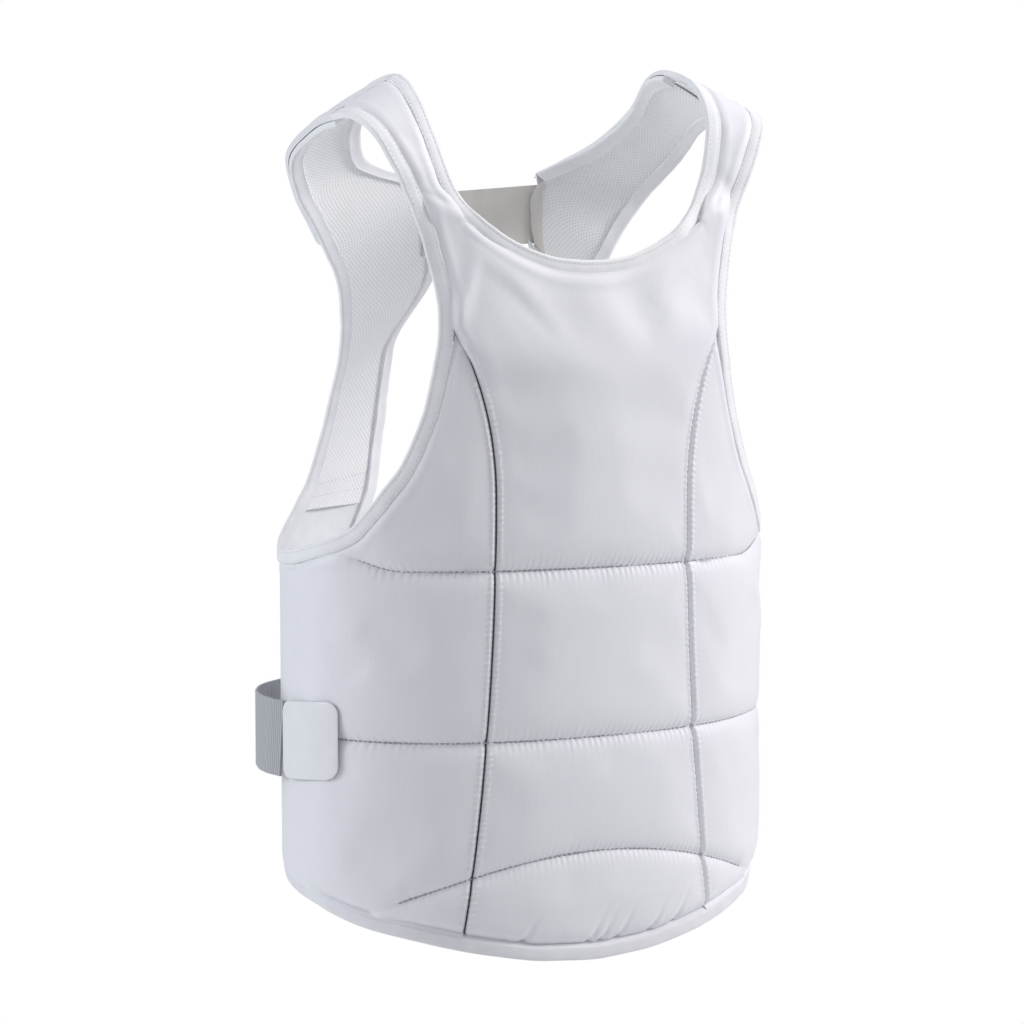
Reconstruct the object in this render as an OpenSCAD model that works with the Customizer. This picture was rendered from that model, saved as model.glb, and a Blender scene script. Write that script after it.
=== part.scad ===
// Martial-arts chest protector: a padded vest front with shoulder straps, racerback
// wings, a spine elastic and a waist elastic that closes on a hook-and-loop tab.
// Frame: +Z up, the front of the vest faces -Y, origin at the centre of the chest space.
// "left" and "right" are the wearer's: left is +X.

/* [Torso] */
// Half the width of the vest at the waist, outside the covers
chest_half_width = 168; // [167:1:170]
// Half the depth of the vest at the waist
chest_half_depth = 116; // [104:1:118]
// Height of the upper quilting line
line_1 = -26; // [-32:1:-26]
// Height of the lower quilting line
line_2 = -136; // [-142:1:-130]
// Distance from the centre to a princess seam at the waist
seam_half = 69; // [64:1:70]
// How far the wearer's right shoulder hangs lower than the left
shoulder_drop = 8; // [0:1:10]
// How far the lower corners of the back wings hang towards the wearer's left
wing_skew = 24; // [0:1:24]

/* [Layers] */
// Thickness of the outer fabric
cover_t = 0.8; // [0.6:0.1:0.9]
// Thickness of the foam in the quilted cells
foam_t = 10.5; // [8:0.5:10.5]
// Thickness of the mesh lining
mesh_t = 0.8; // [0.6:0.1:0.9]
// Width of the folded binding tape
tape_w = 9; // [8:0.5:9]

/* [Closures] */
// Width of the waist elastic
belt_w = 50; // [40:1:52]
// Thickness of the waist elastic
belt_t = 1.6; // [1:0.1:2]
// Length of the hook tab along the belt
tab_len = 62; // [54:1:62]
// Width of the spine elastic
spine_w = 43; // [36:1:43]

/* [Hidden] */

gap = 0.5;                       // between two layers
pad_edge = 2;                    // from a pad to its quilting line
arm_clear = 20;                  // from a pad to an armhole edge
neck_clear = 22;                 // from a pad to the neckline
pad_end = 75;                    // body angle where the side pads end
rear = 116;                      // body angle where a side cover ends
crest = 5;                       // place along a strap where it passes over the shoulder
flap_end = 9.8;                  // place along a strap where the flap ends
strap_foam = 2.5;                // thickness of the strap's foam
fabric = "white";
mesh = "gainsboro";
foam = "lightyellow";
beige = "antiquewhite";
grey = "lightsteelblue";
hook_t = 0.7;                    // thickness of a hook piece
loop_t = 1;                      // thickness of a loop piece
seam_flare = 25;                 // how far a princess seam swings out up to the armhole
seam_spread = 20;                // how far it swings out down to the hem
strap_bow = 6;                   // how much a strap bulges between its edges
pad_rise = 7.5;                  // from the hem up to the lowest foam
lining_slack = 0.8;              // extra room between the foam and its lining
panel_t = 2.4;                   // thickness of a back panel, two plies and the seam between
binding_stop = 15.95;            // place along a wing where its pieces end, at the waist seam

// Armhole edge at the front: distance from the centre line and height
ARM_FRONT = [[115, 200], [109, 175], [104, 150], [103, 128], [106, 106], [112, 76], [123, 45],
    [134, 26], [143, 11], [152, -2]];
// Armhole edge under the arm: body angle and height
ARM_UNDER = [[75, -12], [90, -18], [104, -20], [116, -14], [126, 0]];
// Lower edge of the pads: body angle and height
HEM = [[0, -273], [15, -270], [31, -262], [45, -254], [58, -249], [77, -240], [98, -236], [116, -234]];
// Free rear edge of a back panel: body angle and height
BACK_EDGE = [[127, -234], [129, -190], [134, -140], [141, -85], [149, -35], [153, 1]];
// Neck-side edge of a strap and its wing, from the chest over the shoulder to the waist seam
STRAP_NECK = [[77, -93, 200], [88, -85, 217], [96, -80, 238], [103, -70, 264], [105, -48, 288],
    [102, -13, 299], [104, 20, 295], [106, 50, 275], [94, 80, 254], [72, 99, 239], [51, 105, 226],
    [46, 106, 206], [45, 106, 184], [46, 106, 158], [54, 104, 116], [62, 102, 60], [71, 98, 2]];
// Arm-side edge of the same
STRAP_ARM = [[115, -87, 200], [121, -86, 213], [131, -84, 234], [144, -74, 260], [149, -50, 270],
    [149, -15, 271], [151, 20, 266], [153, 56, 248], [136, 80, 218], [121, 86, 194], [110, 88, 174],
    [101, 91, 156], [98, 93, 136], [98, 93, 110], [105, 91, 80], [118, 84, 40], [138, 70, 0]];
// Route of the waist elastic from the wearer's left side round the back to the hook tab
BELT = [[168.4, 29.6], [160, 58], [146, 80], [118, 104], [62, 124], [0, 131], [-62, 127], [-118, 111],
    [-154, 88], [-170, 64], [-175.5, 42], [-175.5, 25], [-171.7, 9.1]];

function ease(k) = let (c = min(max(k, 0), 1)) c * c * (3 - 2 * c);
function mix(a, b, k) = a * (1 - k) + b * k;
function unit(v) = v / norm(v);
function side_x(p, side) = [p.x * side, p.y, p.z];
function clamped(p, i) =
    i < 0 ? 2 * p[0] - p[1] : i >= len(p) ? 2 * p[len(p) - 1] - p[len(p) - 2] : p[i];
// Smooth curve through the points p, at place s from 0 to len(p) - 1
function curve(p, s) =
    let (i = min(max(floor(s), 0), len(p) - 2), t = s - i,
        a = clamped(p, i - 1), b = p[i], c = p[i + 1], d = clamped(p, i + 2))
    (2 * b + (c - a) * t + (2 * a - 5 * b + 4 * c - d) * t * t + (3 * b - a - 3 * c + d) * t * t * t) / 2;

// ---- Torso surface: a rounded oval that flattens towards the shoulders ----
function depth_at(z) = chest_half_depth - 16 * ease((z - 100) / 100);
function power_at(z) = 2.3 + 0.7 * ease((z - 100) / 100);
function width_at(z) = chest_half_width - 6 * ease((-225 - z) / 35);
function oval(r, n) = pow(pow(abs(sin(r)), n) + pow(abs(cos(r)), n), -1 / n);
function torso(r, z, off = 0) =
    let (n = power_at(z), a = width_at(z), b = depth_at(z), q = oval(r, n),
        x = a * q * sin(r), y = -b * q * cos(r),
        nx = sign(x) * pow(abs(x / a), n - 1) / a, ny = sign(y) * pow(abs(y / b), n - 1) / b)
    [x, y, z] + off * unit([nx, ny, 0]);
function angle_of_x(x, z) =
    let (k = min(abs(x) / width_at(z), 0.999), n = power_at(z))
    sign(x) * atan2(k, pow(1 - pow(k, n), 1 / n));
function front(x, z, off = 0) = torso(angle_of_x(x, z), z, off);

// ---- Outlines ----
function arm_x(z) = lookup(z, [for (p = ARM_FRONT) [p[1], p[0]]]);
function seam_x(z) =
    z < 20 ? seam_half + seam_spread * pow((20 - z) / 280, 2)
    : seam_half + seam_flare * pow((z - 20) / 109, 2.1);
function panel_edge(z) = z < 128 ? seam_x(z) : arm_x(z);
function panel_cut(z) = (z < 60 ? seam_x(z) : min(seam_x(z), arm_x(z) - tape_w)) - gap / 2;
function hem_z(r) = lookup(abs(r), HEM);
function arch_z(x) = -211 - 38 * pow(abs(x) / 145, 2);
function line_1_z(r) = line_1 + 10 * ease((abs(r) - 45) / 20);
function neck_z(x) = 170 + 30 * pow(abs(x) / 77, 2.3);
ARM_EDGE = concat([for (p = ARM_FRONT) [angle_of_x(p[0], p[1]), p[1]]], ARM_UNDER);
seam_top = 3;                    // place along ARM_EDGE where the princess seam meets it
arm_point = function(s, off) let (p = curve(ARM_EDGE, s)) torso(p[0], p[1], off);
// Position and frame on an outline: point, outward normal, direction into the fabric
function framed(f, s, step, flip) =
    let (p = f(s, 0), n = f(s, 1) - p, along = f(s + step, 0) - f(s - step, 0))
    [p, n, flip * unit(cross(along, n))];
function to_tape(s) =
    let (k = framed(arm_point, s, 0.1, 1), q = k[0] + (tape_w + gap) * k[2])
    [q.y > 0 ? 180 - angle_of_x(q.x, q.z) : angle_of_x(q.x, q.z), q.z];

// ---- Straps and wings: a ribbon between two edges ----
function hang(p, side) =
    side > 0 ? p : let (h = ease((p.z - 185) / 80)) p + [0.75 * shoulder_drop * h, 0, -shoulder_drop * h];
function skew_share(z, side) =
    side > 0 ? 0.5 * exp(-pow((z - 165) / 38, 2)) : ease((250 - z) / 30) * ease((z - 110) / 60);
function skew(p, s, side) = s < 8 ? p : p + [wing_skew * skew_share(p.z, side), 0, 0];
function neck_side(s, side) = hang(skew(side_x(curve(STRAP_NECK, s), side), s, side), side);
function arm_side(s, side) = hang(side_x(curve(STRAP_ARM, s), side), side);
function ribbon_normal(s, w, side) =
    let (a = max(s - 0.05, 0), b = min(s + 0.05, 16),
        along = mix(neck_side(b, side) - neck_side(a, side), arm_side(b, side) - arm_side(a, side), w))
    -side * unit(cross(along, arm_side(s, side) - neck_side(s, side)));
function ribbon(s, w, off, side) =
    mix(neck_side(s, side), arm_side(s, side), w)
    + (off + strap_bow * w * (1 - w)) * ribbon_normal(s, w, side);
function tape_share(s, side) = (tape_w + gap) / norm(arm_side(s, side) - neck_side(s, side));

// ---- Solids from grids of points ----
// Faces of a closed slab over a grid of nu by nv cells whose second layer starts at n
function cell(a, b, c, d, n) = [[a, c, b], [a, d, c], [a + n, b + n, c + n], [a + n, c + n, d + n]];
function rim(loop, n) =
    [for (k = [0:len(loop) - 1]) let (a = loop[k], b = loop[(k + 1) % len(loop)]) each
        [[a, b, b + n], [a, b + n, a + n]]];
module slab(outer, inner, nu, nv) {
    function id(i, j) = j * (nu + 1) + i;
    n = (nu + 1) * (nv + 1);
    loop = concat([for (i = [0:nu - 1]) id(i, 0)], [for (j = [0:nv - 1]) id(nu, j)],
        [for (i = [nu:-1:1]) id(i, nv)], [for (j = [nv:-1:1]) id(0, j)]);
    cells = [for (j = [0:nv - 1]) for (i = [0:nu - 1]) each
        cell(id(i, j), id(i + 1, j), id(i + 1, j + 1), id(i, j + 1), n)];
    polyhedron(concat(outer, inner), concat(cells, rim(loop, n)));
}
// A slab from a function f(u, v, layer), u and v from 0 to 1; turned over on the right side
module patch(f, nu, nv, side = 1) {
    function grid(layer) =
        [for (j = [0:nv]) for (i = [0:nu]) f((side > 0 ? i : nu - i) / nu, j / nv, layer)];
    slab(grid(0), grid(1), nu, nv);
}
// A flat tape swept along points with frames [point, outward normal, inward direction]
module tape(path, w0, w1, off0, off1, side = 1) {
    patch(function(u, v, layer)
        let (p = path[round(v * (len(path) - 1))])
        p[0] + mix(w0, w1, u) * p[2] + (layer == 0 ? off0 : off1) * p[1],
        1, len(path) - 1, side);
}

// ---- Front cover and front lining: panel and both straps in one piece ----
strap_cols = 3;
neck_cols = 10;
fine_rows = 3;                   // rows in the ramp at the neckline and at the hem
panel_rows = 26;
strap_rows = 14;
cols = 2 * strap_cols + neck_cols;
neck_cut = 86;                   // half width of the neckline, inside the binding
base_cut = 115 - tape_w - gap;   // half width at the strap base, inside the binding
function col_u(i) =
    i < strap_cols ? mix(-1, -neck_cut / base_cut, i / strap_cols)
    : i > cols - strap_cols ? mix(neck_cut / base_cut, 1, (i - cols + strap_cols) / strap_cols)
    : neck_cut / base_cut * ((i - strap_cols) / neck_cols * 2 - 1);
ramp_h = 6;                      // height of the ramp at the hem
neck_ramp = 12;                  // height of the ramp at the neckline
function top_z(u) =
    let (x = min(abs(u) * base_cut, neck_cut), slope = 0.9 * pow(x / 77, 1.3))
    neck_z(x) - (tape_w + 3 * gap) * sqrt(1 + slope * slope);
function low_z(u) = hem_z(angle_of_x(u * panel_cut(-265), -265)) + gap;
function panel_z(u, j) =
    j < fine_rows ? low_z(u) + ramp_h * j / fine_rows
    : j > panel_rows - fine_rows ? top_z(u) - neck_ramp * (panel_rows - j) / fine_rows
    : mix(low_z(u) + ramp_h, top_z(u) - neck_ramp, (j - fine_rows) / (panel_rows - 2 * fine_rows));
function panel_point(i, j, off) =
    let (u = col_u(i), z = panel_z(u, j)) front(u * panel_cut(z), z, off);
function strap_point(side, k, s, off) =
    let (share = mix(0.29, tape_share(s, side) + 0.01, ease(s)))
    ribbon(s, mix(share, 1 - share, k / strap_cols), off, side);
function strap_s(j) = j / strap_rows * (crest - 0.02);
module front_piece(panel_off, strap_off) {
    base = (cols + 1) * (panel_rows + 1);
    per_strap = (strap_cols + 1) * strap_rows;
    n = base + 2 * per_strap;
    right_edge = cols - strap_cols;
    function id(i, j) = j <= panel_rows ? j * (cols + 1) + i
        : i <= strap_cols ? base + (j - panel_rows - 1) * (strap_cols + 1) + i
        : base + per_strap + (j - panel_rows - 1) * (strap_cols + 1) + i - right_edge;
    function points(layer) = concat(
        [for (j = [0:panel_rows]) for (i = [0:cols]) panel_point(i, j, panel_off(i, j, layer))],
        [for (j = [1:strap_rows]) for (i = [0:strap_cols])
            strap_point(-1, strap_cols - i, strap_s(j), strap_off(strap_s(j), layer))],
        [for (j = [1:strap_rows]) for (i = [0:strap_cols])
            strap_point(1, i, strap_s(j), strap_off(strap_s(j), layer))]);
    top = panel_rows + strap_rows;
    used = [for (j = [0:top - 1]) for (i = [0:cols - 1])
        if (j < panel_rows || i < strap_cols || i >= right_edge) each
        cell(id(i, j), id(i + 1, j), id(i + 1, j + 1), id(i, j + 1), n)];
    loop = concat([for (i = [0:cols - 1]) id(i, 0)], [for (j = [0:top - 1]) id(cols, j)],
        [for (i = [cols:-1:right_edge + 1]) id(i, top)],
        [for (j = [top:-1:panel_rows + 1]) id(right_edge, j)],
        [for (i = [right_edge:-1:strap_cols + 1]) id(i, panel_rows)],
        [for (j = [panel_rows:top - 1]) id(strap_cols, j)],
        [for (i = [strap_cols:-1:1]) id(i, top)], [for (j = [top:-1:1]) id(0, j)]);
    polyhedron(concat(points(0), points(1)), concat(used, rim(loop, n)));
}
module front_cover() color(fabric)
    front_piece(function(i, j, layer) -layer * cover_t, function(s, layer) -layer * cover_t);

// The lining follows the foam and comes up to the cover at the edges
lining_near = cover_t + gap;
lining_far = cover_t + foam_t + 2 * gap + lining_slack;
function lining_depth(u, z) =
    let (to_arm = panel_cut(z) * (1 - abs(u)),
        side_ramp = 1 - ease((z - 118) / 14) * (1 - ease(to_arm / 11)))
    mix(lining_near, lining_far,
        side_ramp * ease((top_z(u) - z) / neck_ramp) * ease((z - low_z(u)) / ramp_h));
module front_lining() color(mesh)
    front_piece(
        function(i, j, layer)
            let (u = col_u(i)) -lining_depth(u, panel_z(u, j)) - layer * mesh_t,
        function(s, layer)
            -mix(lining_near, cover_t + strap_foam + 2 * gap, ease(s / 0.7)) - layer * mesh_t);
module strap_pad(side) color(foam)
    patch(function(u, v, layer)
        let (s = mix(0.8, crest - 0.1, v), share = tape_share(s, side) + 0.02)
        ribbon(s, mix(share, 1 - share, u), -cover_t - gap / 2 - layer * strap_foam, side),
        3, 12, side);

// ---- Side covers and linings ----
// Patch in body angle and height between the princess seam, the armhole, the hem and the rear
function side_seam(v) =
    let (z = mix(-262, 126, v), x = panel_cut(z) + gap) [angle_of_x(x, z), z];
function side_top(u) =
    let (k = mix(seam_top + 0.12, len(ARM_EDGE) - 2, pow(u, 0.8)), p = to_tape(k),
        start = side_seam(1))
    mix(start, p, ease(u * 8));
function side_hem(u) = let (r = mix(side_seam(0)[0], rear, u)) [r, hem_z(r) + gap];
function side_rear(v) = mix(side_hem(1), side_top(1), v);
function coons(u, v) =
    mix(side_hem(u), side_top(u), v) + mix(side_seam(v), side_rear(v), u)
    - mix(mix(side_hem(0), side_hem(1), u), mix(side_top(0), side_top(1), u), v);
side_ramp = 0.016;               // share of a side piece's height taken by each ramp
function side_v(v) =
    v < 0.1 ? side_ramp * v / 0.1 : v > 0.9 ? 1 - side_ramp * (1 - v) / 0.1
    : mix(side_ramp, 1 - side_ramp, (v - 0.1) / 0.8);
module side_piece(side, depth, thick)
    patch(function(u, v, layer)
        let (k = side_v(v), p = coons(u, k)) side_x(torso(p[0], p[1], -depth(k, p) - layer * thick), side),
        18, 20, side);
module side_cover(side) color(fabric)
    side_piece(side, function(k, p) 0, cover_t);
module side_lining(side) color(mesh)
    side_piece(side, function(k, p)
        mix(lining_near, lining_far, ease(k / side_ramp)
            * ease((pad_end + 12 - p[0]) / 10) * ease((1 - k) / side_ramp)), mesh_t);

// ---- Quilted foam cells ----
module pad(side, x0, x1, z0, z1, nu, nv)
    color(foam) patch(function(u, v, layer)
        let (zm = mix(z0(x0(0)), z1(x0(0)), v), xm = mix(x0(zm), x1(zm), u),
            z = mix(z0(xm), z1(xm), v), x = mix(x0(z), x1(z), u))
        side_x(front(x, z, -cover_t - gap - layer * foam_t), side), nu, nv, side);
module centre_pad(z0, z1, nv)
    pad(1, function(z) -pad_half(z), function(z) pad_half(z), z0, z1, 10, nv);
function pad_half(z) = panel_edge(z) - pad_edge - arm_clear * ease((z - 92) / 34);
function foam_top(x) = min(neck_z(x), 205) - neck_clear - 1.5;
function above(z) = function(x) z + pad_edge;
function below(z) = function(x) z - pad_edge;
seam_out = function(z) seam_x(z) + pad_edge;
pad_end_x = 160;                 // distance from the centre where the side pads end
pad_hem = function(x) hem_z(angle_of_x(x, -250)) + pad_rise;
module chest_pad() centre_pad(above(line_1), function(x) foam_top(x), 14);
module abdomen_pad() centre_pad(above(line_2), below(line_1), 6);
module waist_pad() centre_pad(function(x) arch_z(x) + pad_edge, below(line_2), 6);
module belly_pad() centre_pad(pad_hem, function(x) arch_z(x) - pad_edge, 4);
module side_pad_upper(side)
    pad(side, seam_out, function(z) max(arm_x(z) - arm_clear, seam_out(z) + 3),
        above(line_1), function(x) 88, 6, 8);
module side_pad_middle(side)
    pad(side, seam_out, function(z) pad_end_x, above(line_2),
        function(x) line_1_z(angle_of_x(x, line_1)) - pad_edge, 10, 6);
module side_pad_lower(side)
    pad(side, seam_out, function(z) pad_end_x,
        function(x) max(arch_z(x) + pad_edge, pad_hem(x)), below(line_2), 10, 6);
module side_pad_hem(side)
    pad(side, seam_out, function(z) 116, pad_hem, function(x) arch_z(x) - pad_edge, 4, 2);

// ---- Bindings and hem ----
function ribbon_frame(s, side, w, inward) =
    let (n = ribbon_normal(s, w, side), p = w == 0 ? neck_side(s, side) : arm_side(s, side),
        across = arm_side(s, side) - neck_side(s, side))
    [p, n, inward * unit(across - (across * n) * n)];
function mirrored(path, side) =
    [for (p = path) [side_x(p[0], side), side_x(p[1], side), side_x(p[2], side)]];
tape_top = 0.4;                  // how far a tape stands above the cover
tape_back = 3.2;                 // how far it reaches behind the cover's face
function arm_under_path() =
    [for (k = [1:2 * len(ARM_EDGE) - 3]) framed(arm_point, k / 2, 0.1, 1)];
module armhole_binding(side) color(fabric) {
    strap = [for (s = [crest - 0.1:-0.45:0.3]) ribbon_frame(s, side, 1, -1)];
    wing = [for (s = [15.6:-0.6:crest + 0.4]) sunk(ribbon_frame(s, side, 1, -1), s)];
    tape(concat(strap, mirrored(arm_under_path(), side), wing), 0, tape_w, tape_top, -tape_back, side);
}
neck_point = function(x, off) front(x, neck_z(x), off);
module neck_binding() color(fabric) {
    left = [for (s = [crest - 0.1:-0.45:0.3]) ribbon_frame(s, 1, 0, 1)];
    right = [for (s = [0.35:0.45:crest - 0.05]) ribbon_frame(s, -1, 0, 1)];
    across = [for (x = [68:-11.33:-68]) framed(neck_point, x, -2, -1)];
    tape(concat(left, across, right), 0, tape_w, tape_top, -tape_back, -1);
}
band_h = 9.5;                    // height of the flat band below the pads
module hem_band() color(fabric)
    patch(function(u, v, layer)
        let (r = mix(-BACK_EDGE[0][0], BACK_EDGE[0][0], u), z = hem_z(r))
        torso(r, z - gap - band_h * (1 - v), layer == 0 ? -0.6 : -3.2), 48, 1);
wing_in = -4.6;                  // a wing lies this far inside the shoulder flap
function wing_off(s) = wing_in * (1 - 0.8 * ease((s - 12) / 4));
function sunk(frame, s) = [frame[0] + wing_off(s) * frame[1], frame[1], frame[2]];
module wing_layer(side, off, thick)
    patch(function(u, v, layer)
        let (s = mix(crest + 0.15, binding_stop, v), share = tape_share(s, side))
        ribbon(s, mix(share, 1 - share, u), wing_off(s) - off - layer * thick, side), 5, 30, side);
module wing_shell(side) color(fabric) wing_layer(side, 0, cover_t);
module wing_lining(side) color(mesh) wing_layer(side, cover_t + gap, mesh_t);
module wing_tape(side, s0, s1, steps) color(fabric)
    tape([for (k = [0:steps]) let (s = mix(s0, s1, k / steps)) sunk(ribbon_frame(s, side, 0, 1), s)],
        0, tape_w, tape_top, -tape_back, side);
module wing_neck_binding(side) wing_tape(side, crest + 0.2, 10 - spine_lift(side), 10);
// The back edges lie on the body below and run in to the wings at the top
back_sink = 12;                  // how far they run in
function back_dip(p) = -back_sink * ease((p[1] + 110) / 110) * max(p[0] - 118, 0) / 35;
back_point = function(s, off) let (p = curve(BACK_EDGE, s)) torso(p[0], p[1], back_dip(p) + off);
function back_edge_path() = [for (k = [9:-1:0]) framed(back_point, k / 2, 0.1, -1)];
module back_edge_binding(side) color(fabric) {
    start = 12.6 - spine_lift(side);
    wing = [for (k = [0:7]) let (s = mix(start, binding_stop, k / 7)) sunk(ribbon_frame(s, side, 0, 1), s)];
    tape(concat(wing, mirrored(back_edge_path(), side)), 0, tape_w, tape_top, -tape_back, side);
}
// Plain panel between a side cover's rear edge, the wing and the free back edge
BACK_TOP = [side_top(1) + [0.35, -1], [126.5, -9.5], [131.5, 1], [149, 3.6]];
function back_outer(v) = side_rear(v) + [0.35, -v];
function back_inner(v) = curve(BACK_EDGE, 5 * v) + [-4, mix(0.3, 2, v)];
module back_panel(side) color(fabric)
    patch(function(u, v, layer)
        let (top = curve(BACK_TOP, 3 * u) - mix(back_outer(1), back_inner(1), u),
            p = mix(back_outer(v), back_inner(v), u) + pow(v, 4) * top)
        side_x(torso(p[0], p[1], back_dip(p) - layer * panel_t), side), 8, 14, side);

// ---- Spine elastic ----
function wing_corner(s, side) = ribbon(s, tape_share(s, side), wing_off(s) - 0.8, side);
spine_low = 12.1;                // place along a wing of the elastic's lower edge
function spine_lift(side) = side > 0 ? 0.35 : 0;  // its end on the left wing sits higher
spine_reach = spine_w / 21;      // places along a wing that the elastic takes up
spine_t = 2;                     // thickness of the elastic with its seam
fold_t = 1.6;                    // thickness of a folded end
module spine_elastic() color(beige)
    patch(function(u, v, layer)
        let (s = spine_low - spine_reach * v, a = wing_corner(s, -1), b = wing_corner(s - spine_lift(1), 1),
            inset = 0.015, k = mix(inset, 1 - 1.8 * inset, u))
        mix(a, b, k) + [0, spine_t * (1 - layer), 0], 8, 2, -1);
module spine_end(side) color(beige)
    patch(function(u, v, layer)
        let (s = spine_low + 0.1 - spine_lift(side) - spine_reach * v, share = tape_share(s, side),
            off = wing_off(s) - cover_t - mesh_t - 2 * gap - fold_t * layer)
        ribbon(s, share + 0.02 + 0.16 * u, off, side),
        2, 2, -side);

// ---- Shoulder hook and loop ----
module over_wing(side, s0, s1, margin, off, thick, nv)
    patch(function(u, v, layer)
        let (s = mix(s0, s1, v), share = margin / norm(arm_side(s, side) - neck_side(s, side)))
        ribbon(s, mix(share, 1 - share, u), off - layer * thick, side), 4, nv, side);
flap_t = 1.3;                    // thickness of a flap, two plies of cover fabric
module shoulder_flap(side) color(fabric)
    over_wing(side, crest + 0.02, flap_end, 0.5, 0, flap_t, 24);
module shoulder_hook(side) color(grey)
    over_wing(side, 6.4, flap_end - 0.3, 12, -flap_t - 0.4, hook_t + 0.1, 16);
module shoulder_loop(side) color(grey)
    over_wing(side, 5.6, flap_end + 0.2, 11, -flap_t - hook_t - 0.9, loop_t, 20);

// ---- Waist belt ----
belt_z = -144.5;                 // height of the middle of the belt
tab_rear = 94;                   // body angle of the tab's rear edge
tab_front = tab_rear - tab_len / 2;  // body angle of its front edge, 2 mm to a degree there
tab_rise = 8;                    // how much higher the front of the tab sits
module belt_strip(z0, z1, thick, n)
    patch(function(u, v, layer)
        let (s = u * (len(BELT) - 1), p = curve(BELT, s), d = curve(BELT, s + 0.05) - curve(BELT, s - 0.05),
            out = unit([d.y, -d.x]))
        concat(p - layer * thick * out, mix(z0, z1, v)), n, 1);
module waist_elastic() color(grey) belt_strip(belt_z - belt_w / 2, belt_z + belt_w / 2, belt_t, 44);
function rise_at(r) = 1 - (abs(r) - tab_front) / (tab_rear - tab_front);
// A plate on the side of the vest between two body angles, its front end raised
module on_side(r0, r1, half, off, thick, rise, nu)
    patch(function(u, v, layer)
        let (r = mix(r0, r1, u), z = belt_z + rise * rise_at(r) + mix(-half, half, v))
        torso(r, z, off - layer * thick), nu, 1);
module belt_anchor_patch() color(fabric)
    on_side(82, 104, belt_w / 2 + 3, 2.4, 2, 0, 8);
module waist_loop_field() color(fabric)
    on_side(-tab_rear, -tab_front - 1, belt_w / 2 - 1, 1.1, loop_t - 0.2, tab_rise, 10);
module waist_hook() color(grey)
    on_side(-tab_rear + 2, -tab_front - 2, belt_w / 2 - 3, 2.1, hook_t, tab_rise, 10);
module waist_tab() color(fabric)
    on_side(-tab_rear, -tab_front, belt_w / 2 + 0.5, 3.6, 1.2, tab_rise, 12);

front_cover();
side_cover(1);  // side_cover_left
side_cover(-1);  // side_cover_right
chest_pad();
abdomen_pad();
waist_pad();
belly_pad();
side_pad_upper(1);  // side_pad_upper_left
side_pad_upper(-1);  // side_pad_upper_right
side_pad_middle(1);  // side_pad_middle_left
side_pad_middle(-1);  // side_pad_middle_right
side_pad_lower(1);  // side_pad_lower_left
side_pad_lower(-1);  // side_pad_lower_right
side_pad_hem(1);  // side_pad_hem_left
side_pad_hem(-1);  // side_pad_hem_right
front_lining();
side_lining(1);  // side_lining_left
side_lining(-1);  // side_lining_right
strap_pad(1);  // strap_pad_left
strap_pad(-1);  // strap_pad_right
neck_binding();
armhole_binding(1);  // armhole_binding_left
armhole_binding(-1);  // armhole_binding_right
hem_band();
wing_shell(1);  // wing_shell_left
wing_shell(-1);  // wing_shell_right
wing_lining(1);  // wing_lining_left
wing_lining(-1);  // wing_lining_right
wing_neck_binding(1);  // wing_neck_binding_left
wing_neck_binding(-1);  // wing_neck_binding_right
back_edge_binding(1);  // back_edge_binding_left
back_edge_binding(-1);  // back_edge_binding_right
back_panel(1);  // back_panel_left
back_panel(-1);  // back_panel_right
spine_elastic();
spine_end(1);  // spine_end_left
spine_end(-1);  // spine_end_right
shoulder_loop(1);  // shoulder_loop_left
shoulder_loop(-1);  // shoulder_loop_right
shoulder_flap(1);  // shoulder_flap_left
shoulder_flap(-1);  // shoulder_flap_right
shoulder_hook(1);  // shoulder_hook_left
shoulder_hook(-1);  // shoulder_hook_right
waist_elastic();
belt_anchor_patch();
waist_loop_field();
waist_tab();
waist_hook();
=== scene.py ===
import math
import bpy
import numpy as np
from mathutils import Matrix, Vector


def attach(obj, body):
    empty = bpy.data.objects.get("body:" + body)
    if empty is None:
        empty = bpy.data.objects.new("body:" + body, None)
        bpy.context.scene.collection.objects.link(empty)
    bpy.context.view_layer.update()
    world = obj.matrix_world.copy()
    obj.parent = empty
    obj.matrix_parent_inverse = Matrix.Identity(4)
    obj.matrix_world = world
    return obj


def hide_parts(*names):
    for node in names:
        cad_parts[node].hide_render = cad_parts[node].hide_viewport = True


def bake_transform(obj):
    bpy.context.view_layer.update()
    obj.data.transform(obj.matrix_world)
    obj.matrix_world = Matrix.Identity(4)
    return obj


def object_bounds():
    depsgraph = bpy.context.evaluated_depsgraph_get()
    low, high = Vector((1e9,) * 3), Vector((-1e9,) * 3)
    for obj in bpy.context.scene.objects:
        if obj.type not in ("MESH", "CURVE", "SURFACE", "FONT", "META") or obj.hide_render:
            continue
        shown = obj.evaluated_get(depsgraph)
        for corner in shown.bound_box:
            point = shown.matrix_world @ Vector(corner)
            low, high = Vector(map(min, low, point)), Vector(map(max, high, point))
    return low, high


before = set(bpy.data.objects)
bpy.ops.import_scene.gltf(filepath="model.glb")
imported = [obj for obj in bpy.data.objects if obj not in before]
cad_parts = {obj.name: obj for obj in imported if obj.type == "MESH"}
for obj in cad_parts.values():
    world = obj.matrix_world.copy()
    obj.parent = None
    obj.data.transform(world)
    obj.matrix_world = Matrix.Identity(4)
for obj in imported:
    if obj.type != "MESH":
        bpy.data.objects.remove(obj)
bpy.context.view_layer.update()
MM = 0.001
SCENE = bpy.context.scene
SIDES = ((1, "left"), (-1, "right"))

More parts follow.
